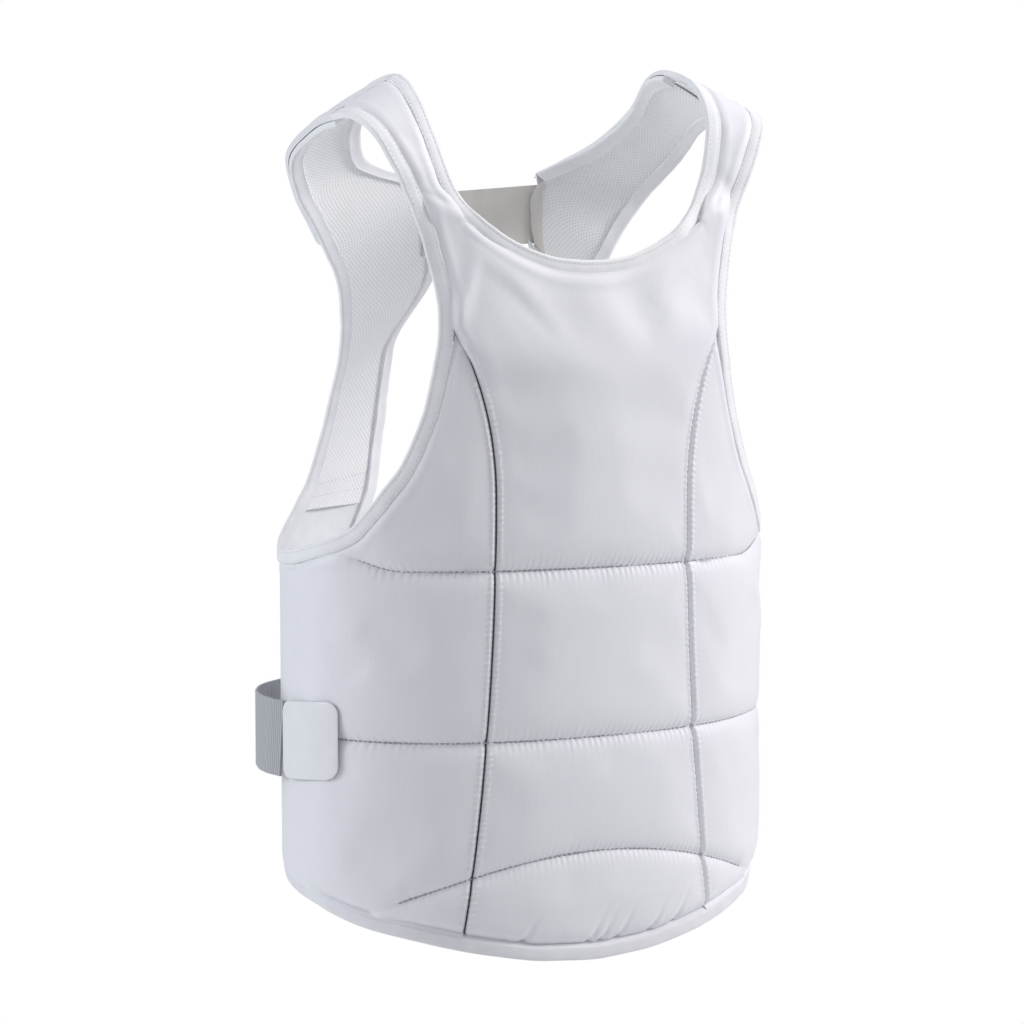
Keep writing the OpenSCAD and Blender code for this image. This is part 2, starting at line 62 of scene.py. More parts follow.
# ---- the vest's own curves, in mm
# places along a strap and its wing; angles round the torso where the side panel and its foam end
CREST, FLAP_END, WING_END, REAR, PAD_END = 5.0, 9.8, 16.0, 116.0, 75.0
TAPE, GAP, WING_IN = 9.0, 0.5, -4.6             # tape width, seam gap, offset of the wings
LINE_1, LINE_2, BELT_Z = -26.0, -136.0, -144.5  # heights of the quilting lines and the belt
SEAM_LOW, SEAM_HIGH = -262.0, 126.0             # ends of the princess seams
WING_SKEW, WING_BOW = 24.0, 6.0
NECK_CUT, BASE_CUT = 84.6, 106.9                # half widths of the front's top: between and over the straps
GROOVE_H, GROOVE_V = 3.8, 2.3                   # how deep a quilting line and a princess seam sink
TUCK = 1.6                                      # the padded cover runs this far under the tapes
FOAM_DEEP, EDGE_DEEP, LINING_T = 11.8, 1.0, 0.7
ARM_FRONT = np.array([[115, 200], [109, 175], [104, 150], [103, 128], [106, 106], [112, 76], [123, 45],
                      [134, 26], [143, 11], [152, -2]], float)
ARM_UNDER = np.array([[75, -12], [90, -18], [104, -20], [116, -14], [126, 0]], float)
HEM = np.array([[0, -273], [15, -270], [31, -262], [45, -254], [58, -249], [77, -240], [98, -236],
                [116, -234]], float)
BACK_EDGE = np.array([[127, -234], [129, -190], [134, -140], [141, -85], [149, -35], [153, 1]], float)
STRAP_NECK = np.array([[77, -93, 200], [88, -85, 217], [96, -80, 238], [103, -70, 264], [105, -48, 288],
                       [102, -13, 299], [104, 20, 295], [106, 50, 275], [94, 80, 254], [72, 99, 239],
                       [51, 105, 226], [46, 106, 206], [45, 106, 184], [46, 106, 158], [54, 104, 116],
                       [62, 102, 60], [71, 98, 2]], float)
STRAP_ARM = np.array([[115, -87, 200], [121, -86, 213], [131, -84, 234], [144, -74, 260], [149, -50, 270],
                      [149, -15, 271], [151, 20, 266], [153, 56, 248], [136, 80, 218], [121, 86, 194],
                      [110, 88, 174], [101, 91, 156], [98, 93, 136], [98, 93, 110], [105, 91, 80],
                      [118, 84, 40], [138, 70, 0]], float)
BELT = np.array([[168.4, 29.6], [160, 58], [146, 80], [118, 104], [62, 124], [0, 131], [-62, 127],
                 [-118, 111], [-154, 88], [-170, 64], [-175.5, 42], [-175.5, 25], [-171.7, 9.1]], float)


def ease(k):
    k = np.clip(k, 0, 1)
    return k * k * (3 - 2 * k)


def mix(a, b, k):
    return a * (1 - k) + b * k


def unit(v):
    return v / np.maximum(np.linalg.norm(v, axis=-1, keepdims=True), 1e-9)


def curve(p, s):
    s = np.asarray(s, float)
    i = np.clip(np.floor(s).astype(int), 0, len(p) - 2)
    t = (s - i)[..., None]
    e = np.vstack([2 * p[0] - p[1], p, 2 * p[-1] - p[-2]])
    a, b, c, d = e[i], e[i + 1], e[i + 2], e[i + 3]
    return (2 * b + (c - a) * t + (2 * a - 5 * b + 4 * c - d) * t * t + (3 * b - a - 3 * c + d) * t ** 3) / 2


def oval_form(z):
    k = ease((z - 100) / 100)
    return 168 - 6 * ease((-225 - z) / 35), 116 - 16 * k, 2.3 + 0.7 * k


def torso(r, z, off=0.0):
    r, z, off = np.broadcast_arrays(np.asarray(r, float), np.asarray(z, float), np.asarray(off, float))
    a, b, n = oval_form(z)
    s, c = np.sin(np.radians(r)), np.cos(np.radians(r))
    q = (np.abs(s) ** n + np.abs(c) ** n) ** (-1 / n)
    x, y = a * q * s, -b * q * c
    nx = np.sign(x) * np.abs(x / a) ** (n - 1) / a
    ny = np.sign(y) * np.abs(y / b) ** (n - 1) / b
    m = unit(np.stack([nx, ny, 0 * nx], -1))
    return np.stack([x, y, z], -1) + off[..., None] * m


def torso_normal(r, z):
    return torso(r, z, 1.0) - torso(r, z, 0.0)


def angle_of_x(x, z):
    a, b, n = oval_form(np.asarray(z, float))
    k = np.minimum(np.abs(x) / a, 0.999)
    return np.sign(x) * np.degrees(np.arctan2(k, (1 - k ** n) ** (1 / n)))


def front(x, z, off=0.0):
    return torso(angle_of_x(x, z), z, off)


def arm_x(z):
    o = np.argsort(ARM_FRONT[:, 1])
    return np.interp(z, ARM_FRONT[o, 1], ARM_FRONT[o, 0])


def seam_x(z):
    z = np.asarray(z, float)
    low = 69 + 20 * (np.maximum(20 - z, 0) / 280) ** 2
    return np.where(z < 20, low, 69 + 25 * (np.maximum(z - 20, 0) / 109) ** 2.1)


def panel_cut(z):
    z = np.asarray(z, float)
    return np.where(z < 60, seam_x(z), np.minimum(seam_x(z), arm_x(z) - TAPE)) - GAP / 2


def hem_z(r):
    return np.interp(np.abs(r), HEM[:, 0], HEM[:, 1])


def arch_z(x):
    return -211 - 38 * (np.abs(x) / 145) ** 2


def line_1_z(r):
    return LINE_1 + 10 * ease((np.abs(r) - 45) / 20)


def neck_z(x):
    return 170 + 30 * (np.abs(x) / 77) ** 2.3


ARM_EDGE = np.column_stack([angle_of_x(ARM_FRONT[:, 0], ARM_FRONT[:, 1]), ARM_FRONT[:, 1]])
ARM_EDGE = np.vstack([ARM_EDGE, ARM_UNDER])
ARM_LAST = len(ARM_EDGE) - 2


def arm_point(s, off=0.0):
    p = curve(ARM_EDGE, s)
    return torso(p[..., 0], p[..., 1], off)


def framed(f, s, step, flip):
    p = f(s)
    n = unit(f(s, 1.0) - p)
    along = f(s + step) - f(s - step)
    return p, n, flip * unit(np.cross(along, n))


def mirror(p, side):
    q = np.array(p, float)
    q[..., 0] *= side
    return q


def hang(p, side):
    if side > 0:
        return p
    h = ease((p[..., 2] - 185) / 80)
    return p + np.stack([6 * h, 0 * h, -8 * h], -1)


def neck_side(s, side):
    s = np.asarray(s, float)
    p = mirror(curve(STRAP_NECK, s), side)
    z = p[..., 2]
    share = 0.5 * np.exp(-((z - 165) / 38) ** 2) if side > 0 else ease((250 - z) / 30) * ease((z - 110) / 60)
    k = np.where(s < 8, 0.0, WING_SKEW * share)
    return hang(p + np.stack([k, 0 * k, 0 * k], -1), side)


def arm_side(s, side):
    return hang(mirror(curve(STRAP_ARM, np.asarray(s, float)), side), side)


def ribbon_normal(s, w, side):
    s, w = np.broadcast_arrays(np.asarray(s, float), np.asarray(w, float))
    a, b = np.maximum(s - 0.05, 0), np.minimum(s + 0.05, WING_END)
    along = mix(neck_side(b, side) - neck_side(a, side), arm_side(b, side) - arm_side(a, side), w[..., None])
    return -side * unit(np.cross(along, arm_side(s, side) - neck_side(s, side)))


def ribbon(s, w, off, side):
    s, w, off = np.broadcast_arrays(np.asarray(s, float), np.asarray(w, float), np.asarray(off, float))
    p = mix(neck_side(s, side), arm_side(s, side), w[..., None])
    return p + (off + WING_BOW * w * (1 - w))[..., None] * ribbon_normal(s, w, side)


def ribbon_wide(s, side):
    return np.linalg.norm(arm_side(s, side) - neck_side(s, side), axis=-1)


def spine_lift(side):
    """How much higher up its wing, in places, an end of the spine elastic sits."""
    return 0.35 if side > 0 else 0.0


def back_dip(r, z):
    """How far the back edges run in towards the wings near their top."""
    return -12 * ease((z + 110) / 110) * np.maximum(r - 118, 0) / 35


def wing_off(s):
    return WING_IN * (1 - 0.8 * ease((s - 12) / 4))


def wave(x, seed):
    """Smooth noise from -1 to 1 along x, made from sines that never line up."""
    k = 1 + 0.07 * seed
    parts = enumerate((1, 1.73, 2.91, 4.37))
    return sum(np.sin(x * f * k + seed * 1.7 + 2.1 * i) / (1 + 0.6 * i) for i, f in parts) / 2.3


def field(x, y, seed):
    """Smooth noise over a surface, about one unit across each lump."""
    v = 0
    for i in range(5):
        a = seed * 0.9 + i * 2.4
        v = v + np.sin(x * math.cos(a) * 2.6 + y * math.sin(a) * 2.6 + 1.3 * np.sin(y * 1.1 + a) + seed + i)
    return v / 3.2


def unit_grid(across, along, low=0.0):
    """Grids u and v from low to 1, with this many points across and along."""
    return np.meshgrid(np.linspace(low, 1, across), np.linspace(low, 1, along))


def run_of(points):
    """How far along its line each point is."""
    return np.concatenate([[0], np.cumsum(np.linalg.norm(np.diff(points, axis=0), axis=1))])


def columns_at(a, at):
    """Rows of a at fractional places."""
    return np.column_stack([np.interp(at, np.arange(len(a)), a[:, i]) for i in range(3)])


# ---- meshes
def new_object(name, verts, faces, attrs=None, sharp=40):
    me = bpy.data.meshes.new(name)
    me.from_pydata((np.asarray(verts, float).reshape(-1, 3) * MM).tolist(), [], faces)
    me.validate()
    for key, val in (attrs or {}).items():
        at = me.attributes.new(key, "FLOAT", "POINT")
        at.data.foreach_set("value", np.asarray(val, np.float32).ravel())
    me.polygons.foreach_set("use_smooth", [True] * len(me.polygons))
    if sharp:
        me.set_sharp_from_angle(angle=math.radians(sharp))
    return placed(name, me)


def placed(name, data):
    o = bpy.data.objects.new(name, data)
    SCENE.collection.objects.link(o)
    return o


def quads(nu, nv, base=0, flip=False):
    i, j = np.meshgrid(np.arange(nu), np.arange(nv))
    a = (base + j * (nu + 1) + i).ravel()
    q = np.stack([a, a + 1, a + nu + 2, a + nu + 1], -1)
    return q[:, ::-1] if flip else q


def slab(name, top, under, attrs=None, flip=False, sharp=40):
    """A closed sheet between two grids of points, rows by columns."""
    nv, nu = top.shape[0] - 1, top.shape[1] - 1
    n = top.shape[0] * top.shape[1]
    ring = np.concatenate([np.arange(nu), nu + np.arange(nv) * (nu + 1), n - 1 - np.arange(nu),
                           (nv - np.arange(nv)) * (nu + 1)])
    nxt = np.roll(ring, -1)
    rim = np.stack([ring, ring + n, nxt + n, nxt], -1)
    if flip:
        rim = rim[:, ::-1]
    faces = np.vstack([quads(nu, nv, 0, flip), quads(nu, nv, n, not flip), rim])
    both = {k: np.concatenate([np.ravel(v), np.ravel(v)]) for k, v in (attrs or {}).items()}
    verts = np.concatenate([top.reshape(-1, 3), under.reshape(-1, 3)])
    return new_object(name, verts, faces.tolist(), both, sharp)


def tube_faces(rings, k, base=0):
    """Quads between rings of k points, and both end caps."""
    j, i = np.divmod(np.arange((rings - 1) * k), k)
    a, b = base + j * k + i, base + j * k + (i + 1) % k
    ends = base + np.arange(k), base + (rings - 1) * k + np.arange(k)
    return np.stack([a, b, b + k, a + k], -1).tolist() + [ends[0][::-1].tolist(), ends[1].tolist()]


def loft(name, path, normal, inward, section):
    """Sweeps a closed section of (across, out) points, in mm, along a framed path."""
    sec = np.asarray(section, float)
    v = path[:, None] + sec[None, :, 0:1] * inward[:, None] + sec[None, :, 1:2] * normal[:, None]
    m, k = len(path), len(sec)
    at = {"along": np.repeat(run_of(path), k), "across": np.tile(sec[:, 0], m)}
    return new_object(name, v, tube_faces(m, k), at, 50)


def polyline(points, step):
    """The same line with points a step apart, and the place of each on the old line."""
    d = run_of(points)
    t = np.linspace(0, d[-1], max(int(round(d[-1] / step)), 1) + 1)
    at = np.interp(t, d, np.arange(len(points)))
    return np.column_stack([np.interp(t, d, points[:, i]) for i in range(3)]), at


SPINDLE = ((-0.5, 0.35), (-0.3, 0.95), (0.3, 0.95), (0.5, 0.35))    # a stitch, in shares of length and radius
SEWN = (3.3, 2.3, 0.36)     # pitch, length and radius of a tape's stitches


def stitches(name, lines, size, mat, body="vest"):
    """Short thread stitches along lines of (points, normals), each one a small spindle."""
    pitch, length, radius = size
    verts, faces = [], []
    ring = np.radians(np.arange(0, 360, 60))
    for pts, nrm in lines:
        pts, at = polyline(pts, pitch)
        for a, b, n in zip(pts[:-1], pts[1:], columns_at(nrm, at)[:-1]):
            t = unit(b - a)
            n = unit(n - t * (n @ t))
            c, side = (a + b) / 2 - n * radius * 0.3, np.cross(t, n)
            faces += tube_faces(len(SPINDLE), len(ring), len(verts))
            verts += [c + t * u * length + radius * w * (math.cos(g) * side + 0.8 * math.sin(g) * n)
                      for u, w in SPINDLE for g in ring]
    finish_piece(new_object(name, verts, faces, None, 0), mat, body=body)


def finish_piece(o, mat, replaced=(), body="vest"):
    """body is the body that the piece rides; for a tuple (a, b, start, end) the piece is only baked in place,
    on no body.
    """
    o.data.materials.clear()
    o.data.materials.append(mat)
    if isinstance(body, str):
        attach(o, body)
    else:
        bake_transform(o)
    if replaced:
        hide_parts(*replaced)


# ---- materials
class Nodes:
    def __init__(self, name):
        self.mat = bpy.data.materials.new(name)
        self.mat.use_nodes = True
        self.t = self.mat.node_tree
        self.bsdf = self.t.nodes["Principled BSDF"]

    def add(self, kind, **props):
        n = self.t.nodes.new(kind)
        for k, v in props.items():
            setattr(n, k, v)
        return n

    def link(self, a, b):
        self.t.links.new(a, b)

    def value(self, x, socket):
        if isinstance(x, (int, float)):
            socket.default_value = x
        else:
            self.link(x, socket)

    def math(self, op, *terms):
        n = self.add("ShaderNodeMath", operation=op)
        for x, socket in zip(terms, n.inputs):
            self.value(x, socket)
        return n.outputs[0]

    def attribute(self, name):
        return self.add("ShaderNodeAttribute", attribute_name=name).outputs["Fac"]

    def noise(self, scale, detail=3, stretch=(1, 1, 1)):
        place, scaled = self.add("ShaderNodeTexCoord"), self.add("ShaderNodeMapping")
        scaled.inputs["Scale"].default_value = stretch
        self.link(place.outputs["Object"], scaled.inputs["Vector"])
        n = self.add("ShaderNodeTexNoise")
        n.inputs["Scale"].default_value = scale
        n.inputs["Detail"].default_value = detail
        self.link(scaled.outputs[0], n.inputs["Vector"])
        return n.outputs["Fac"]

    def ramp(self, fac, a, b, lo=0.0, hi=1.0):
        r = self.add("ShaderNodeValToRGB")
        r.color_ramp.elements[0].position, r.color_ramp.elements[1].position = lo, hi
        r.color_ramp.elements[0].color, r.color_ramp.elements[1].color = (*a, 1), (*b, 1)
        self.link(fac, r.inputs[0])
        return r.outputs[0]

    def bump(self, height, strength, distance, under=None):
        b = self.add("ShaderNodeBump")
        b.inputs["Strength"].default_value = strength
        b.inputs["Distance"].default_value = distance
        self.link(height, b.inputs["Height"])
        if under is not None:
            self.link(under, b.inputs["Normal"])
        return b.outputs["Normal"]

    def grain(self, size, strength, distance, detail=3):
        return self.bump(self.noise(1.0, detail, (size,) * 3), strength, distance)

    def stripes(self, x, pitch):
        """0 to 1 and back once every pitch."""
        sine = self.math("SINE", self.math("MULTIPLY", x, 2 * math.pi / pitch))
        return self.math("MULTIPLY_ADD", sine, 0.5, 0.5)

    def done(self, color, rough, normal=None, sheen=0.0, specular=0.4):
        sockets = self.bsdf.inputs
        self.link(color, sockets["Base Color"])
        for key, value in (("Roughness", rough), ("Sheen Weight", sheen), ("Sheen Roughness", 0.45),
                           ("Specular IOR Level", specular)):
            sockets[key].default_value = value
        if normal is not None:
            self.link(normal, sockets["Normal"])
        return self.mat


def shell_fabric():
    """White satin-woven polyester: fine upright threads, soft sheen."""
    m = Nodes("shell_fabric")
    threads = m.noise(1.0, 4, stretch=(1100, 1100, 55))
    cross = m.noise(1.0, 3, stretch=(160, 160, 900))
    cloud = m.noise(14, 3)
    crinkle = m.noise(1.0, 3, stretch=(55, 55, 38))
    color = m.add("ShaderNodeMix", data_type="RGBA")
    m.link(m.ramp(threads, (0.785, 0.78, 0.825), (0.83, 0.825, 0.865), 0.3, 0.7), color.inputs[6])
    m.link(m.ramp(cloud, (0.79, 0.785, 0.83), (0.83, 0.825, 0.86), 0.35, 0.65), color.inputs[7])
    color.inputs[0].default_value = 0.5
    n = m.bump(crinkle, 0.05, 0.0016)
    n = m.bump(cross, 0.04, 0.00010, n)
    n = m.bump(threads, 0.05, 0.00014, n)
    return m.done(color.outputs[2], 0.52, n, 0.12, 0.38)


def binding_fabric():
    """Folded tape with fine cross ribs."""
    m = Nodes("binding_fabric")
    n = m.bump(m.stripes(m.attribute("along"), 0.9), 0.35, 0.00012, m.grain(500, 0.25, 0.0002))
    color = m.ramp(m.noise(70, 3), (0.82, 0.825, 0.845), (0.88, 0.88, 0.9), 0.3, 0.7)
    return m.done(color, 0.6, n, 0.15, 0.35)


def mesh_fabric():
    """Knitted air mesh: small holes in offset rows, painted darker as shade inside them."""
    m = Nodes("mesh_fabric")
    u, v = m.attribute("along"), m.attribute("across")
    a = m.math("COSINE", m.math("MULTIPLY", u, 2 * math.pi / 3.6))
    b = m.math("COSINE", m.math("MULTIPLY", v, 2 * math.pi / 2.7))
    k = m.add("ShaderNodeMapRange", interpolation_type="SMOOTHSTEP")
    k.inputs["From Min"].default_value = 0.12
    k.inputs["From Max"].default_value = 0.62
    m.link(m.math("MULTIPLY", a, b), k.inputs["Value"])
    # the holes are painted darker: painted shade inside the openings
    color = m.ramp(k.outputs[0], (0.93, 0.93, 0.94), (0.80, 0.80, 0.82), 0.0, 1.0)
    height = m.math("SUBTRACT", 1.0, k.outputs[0])
    n = m.bump(height, 0.55, 0.0006, m.grain(900, 0.15, 0.0002, 2))
    return m.done(color, 0.7, n, 0.1, 0.25)


def elastic(name, light, dark, pitch, upright=False, depth=0.7):
    """Woven elastic with ribs along its length; the colour is darker in the grooves between ribs, as painted
    shade.
    """
    m = Nodes(name)
    x = m.attribute("along" if upright else "across")
    y = m.attribute("across" if upright else "along")
    rib, pick = m.stripes(x, pitch), m.stripes(y, 1.1)
    n = m.bump(pick, 0.25, 0.00012, m.grain(700, 0.3, 0.0002))
    n = m.bump(rib, depth, 0.0005, n)
    # the colour follows the ribs: painted shade in the grooves between them
    return m.done(m.ramp(rib, dark, light, 0.1, 0.8), 0.7, n, 0.15, 0.25)


def plain(name, light, dark, rough, grain, depth, sheen=0.1):
    m = Nodes(name)
    color = m.ramp(m.noise(90, 4), dark, light, 0.3, 0.7)
    return m.done(color, rough, m.grain(grain, 0.3, depth), sheen, 0.35)


def white_for_camera(tree, shaded, white, output):
    """Keeps the backdrop white in the picture, while the object is lit by the shaded version."""
    pick, path = tree.nodes.new("ShaderNodeMixShader"), tree.nodes.new("ShaderNodeLightPath")
    tree.links.new(path.outputs["Is Camera Ray"], pick.inputs[0])
    tree.links.new(shaded.outputs[0], pick.inputs[1])
    tree.links.new(white.outputs[0], pick.inputs[2])
    tree.links.new(pick.outputs[0], tree.nodes[output].inputs[0])


M_SHELL = shell_fabric()
M_TAPE = binding_fabric()
M_MESH = mesh_fabric()
# both elastics: colour darker in the rib grooves, painted shade
M_BELT = elastic("belt_elastic", (0.54, 0.545, 0.57), (0.33, 0.335, 0.36), 2.1, True)
M_SPINE = elastic("spine_elastic_weave", (0.70, 0.67, 0.635), (0.68, 0.65, 0.615), 1.0, False, 0.12)
M_TAB = plain("tab_coating", (0.82, 0.82, 0.845), (0.79, 0.79, 0.815), 0.42, 300, 0.00008, 0.05)
M_HOOK = plain("hook_tape", (0.74, 0.74, 0.75), (0.60, 0.60, 0.61), 0.6, 1500, 0.0007)
M_LOOP = plain("loop_tape", (0.80, 0.80, 0.80), (0.70, 0.70, 0.71), 0.85, 1100, 0.0009, 0.4)
M_PLAIN = plain("back_fabric", (0.86, 0.865, 0.885), (0.81, 0.815, 0.84), 0.6, 500, 0.0002)
# hem band cloth: darker than the tapes, painted shade under the belly pad's overhang
M_HEM_SHADED = plain("hem_fabric_painted_shade", (0.80, 0.80, 0.83), (0.75, 0.75, 0.785), 0.55, 400, 0.00015)
M_THREAD = plain("white_thread", (0.80, 0.80, 0.82), (0.66, 0.66, 0.69), 0.6, 2500, 0.0001)
# quilting thread: its dark grey is painted shade from the quilting grooves, on thread that is white
M_QUILT_SHADE = plain("quilting_thread_painted_shade", (0.45, 0.44, 0.485), (0.33, 0.325, 0.36), 0.6, 2500, 0.0001)
# the two seam-strip colours below are painted shade in the princess seams' gaps, darker on the right side
# than on the left
M_SHADE = plain("seam_groove_painted_shade", (0.50, 0.50, 0.53), (0.42, 0.42, 0.45), 0.7, 2500, 0.0001)
M_SEAM_SHADOW = plain("seam_gap_painted_shadow", (0.085, 0.085, 0.095), (0.045, 0.045, 0.052), 0.6, 2500, 0.0001)

# ---- padded shells
def crown(d, depth, reach):
    """Foam pressed down at a seam: 0 far away, -depth at the seam."""
    return -depth * np.exp(-np.abs(d) / reach)


def puckers(d, t, pitch, seed, height, reach, lean=0.3):
    """Gathers that run out from a seam at distance d, with t along the seam."""
    up = np.where(d >= 0, 0.0, 1.9)
    a = np.abs(d)
    tilt = lean * np.where(d >= 0, 1.0, 0.25) * ease((t + 70) / 90)
    phase = 2 * math.pi * (t - tilt * a + 1.1 * wave(t / 11.0 + up, seed)) / pitch + up * 2
    strong = 0.68 + 0.32 * wave(t / 14.0 + up * 3, seed + 2)
    far = reach * (0.8 + 0.5 * wave(t / 4.3 + up, seed + 5))
    ridge = 1.6 * np.abs(np.sin(phase / 2)) - 1
    return height * strong * ridge * np.exp(-a / np.maximum(far, 2)) * (1 - np.exp(-a / 0.9))


def thinner(r):
    """A share by which quilting lines get shallower towards the sides."""
    return 1 - 0.55 * ease((np.abs(r) - 46) / 22)


FAR = 60                                # keeps a line out of the search for the nearest one
HEM_TUCKS = (-52, -6, 3, 16, 41, 60)    # where the belly pad's cover is tucked into the hem


def quilt_height(x, z, r, dv, on_side):
    """Offset of the padded cover from the torso surface; dv is the distance to the princess seam."""
    hem, arch = hem_z(r), arch_z(x)
    slope = 1 / np.sqrt(1 + (76 * np.abs(x) / 145 ** 2) ** 2)
    past = ease((PAD_END + 6 - np.abs(r)) / 14)
    on_1 = (1 - 0.96 * ease((np.abs(r) - 56) / 14) * on_side) * past
    on_2 = np.where(np.abs(r) > 60, past, 1.0)
    gap = arch - hem
    on_arch = ease((gap - 5) / 12) * past * ease((155 - np.abs(x)) / 10)
    d1, d2, d3, d4 = z - line_1_z(r), z - LINE_2, (z - arch) * slope, z - hem
    thin, up = thinner(r), np.maximum(d4, 0)
    below = ease((arch - z) / 6)
    full = mix(past, ease(gap / 34) * past, below)
    h = (crown(d1, GROOVE_H, 4.4) * on_1 + crown(d2, GROOVE_H, 4.4) * on_2) * thin
    h = h + crown(d3, GROOVE_H * 0.9, 4.0) * on_arch * thin
    h = h - (4.6 * full + 0.9) * np.exp(-(up / 3.6) ** 1.25)
    near = np.minimum(np.minimum(np.abs(d1) + FAR * (1 - on_1), np.abs(d2) + FAR * (1 - on_2)),
                      np.minimum(np.abs(d3) + FAR * (1 - on_arch), np.abs(d4)))
    h = h + 1.3 * (1 - np.exp(-np.minimum(near, dv * 1.6) / 24)) * past
    h = h + (puckers(d1, x, 4.2, 1.0, 1.25, 3.3) * on_1 + puckers(d2, x, 4.4, 2.0, 1.25, 3.3) * on_2) * thin
    h = h + puckers(d3, x, 4.0, 3.0, 1.15, 3.0) * on_arch * thin
    h = h + puckers(d4, x, 13.0, 4.0, 0.6, 5.0, 0.0) * full * below
    for place in HEM_TUCKS:
        h = h - 3.6 * np.exp(-(((x - place - 0.5 * d4) / 2.2) ** 2) - up / 6.5) * below
    return np.maximum(h, -7.0)


def side_fall(d, z, seed):
    """Groove, raised rim and small gathers beside a princess seam."""
    d = np.maximum(d, 0)
    rim = 0.75 * np.exp(-((d - 2.2) / 1.2) ** 2)
    ticks = np.sin(2 * math.pi * (z + 0.8 * wave(z / 9.0, seed)) / 3.7)
    ticks = 0.6 * ticks * np.exp(-((d - 2.4) / 1.7) ** 2)
    return crown(d, GROOVE_V, 1.0) + rim + ticks


def tape_fall(d):
    """The cover dips where it runs under a tape and swells just beside it."""
    return crown(np.maximum(d, 0), 1.2, 1.3) + 0.4 * np.exp(-((d - 4.6) / 2.8) ** 2)


def soft_lumps(p, amount):
    """Gentle unevenness of fabric over foam."""
    x, z = p[..., 0] / 42, p[..., 2] / 46
    return amount * (0.6 * field(x, z, 1.0) + 0.4 * field(x * 2.3, z * 2.1, 4.0))


# ---- front shell: panel and both straps share one sheet
FRONT_CELLS = (24, 172, 430, 128)   # what the grids divide: strap and neck width, panel and strap length
COARSE, FINE = 5.0, 1.25            # the sizes of their cells
# folds that run down from the strap bases: (from, to, width, height), places as (x towards each side, z)
FOLDS = (((88, 190), (40, 140), 7, 1.1), ((70, 168), (30, 120), 6, -0.9), ((92, 150), (60, 60), 9, 0.8))
STRAP_FOLDS = ((0.75, 0.9, 0.8), (1.35, -0.7, 0.5), (2.6, 0.6, 0.4))    # (place, slant, depth)


def top_z(u):
    x = np.minimum(np.abs(u) * BASE_CUT, NECK_CUT)
    slope = 0.9 * (x / 77) ** 1.3
    return neck_z(x) - (TAPE - TUCK) * np.sqrt(1 + slope ** 2)


def low_z(u):
    z = SEAM_LOW - 3
    return hem_z(angle_of_x(u * panel_cut(z), z)) - TUCK


def shell_cut(z):
    """Half width of the front cover: to the princess seam, and on up under the armhole tape."""
    return panel_cut(z) + TUCK * ease((z - 104) / 14)


def wrinkle(p, side, a, b, width, height):
    """A soft fold from a to b, both (x towards the side, z)."""
    a = np.array([side * a[0], a[1]], float)
    d = np.array([side * b[0], b[1]], float) - a
    q = p[..., [0, 2]] - a
    k = np.clip((q @ d) / (d @ d), 0, 1)
    e = np.linalg.norm(q - k[..., None] * d, axis=-1)
    return height * np.exp(-(e / width) ** 2) * np.sin(np.pi * np.clip(k, 0.02, 0.98)) ** 0.7


def panel_height(u, z, p):
    x = p[..., 0]
    r = angle_of_x(x, z)
    to_side = shell_cut(z) * (1 - np.abs(u))
    k = ease((122 - z) / 12)
    h = quilt_height(x, z, r, to_side + 60 * ease((z - 90) / 30), 0.0)
    h = h + side_fall(to_side, z, 6.0 + np.sign(u)) * k
    h = h + tape_fall(to_side - TUCK) * (1 - k)
    h = h + tape_fall((top_z(u) - z) * 0.9 - TUCK) * ease((NECK_CUT + 3 - np.abs(x)) / 6)
    top = ease((z - 20) / 90)
    h = h + soft_lumps(p, 0.45 + 0.75 * top)
    for side in (-1, 1):
        h = h + wrinkle(p, side, (78, 176), (96, 120), 5, 0.9 - 0.78 * side)
        for fold in FOLDS:
            h = h + wrinkle(p, side, *fold)
    return h


def strap_row(a, strap_n, side):
    """The part of the panel's top row where a strap leaves it, from neck to arm."""
    return a[-1, -1 - strap_n:] if side > 0 else a[-1, :strap_n + 1][::-1]


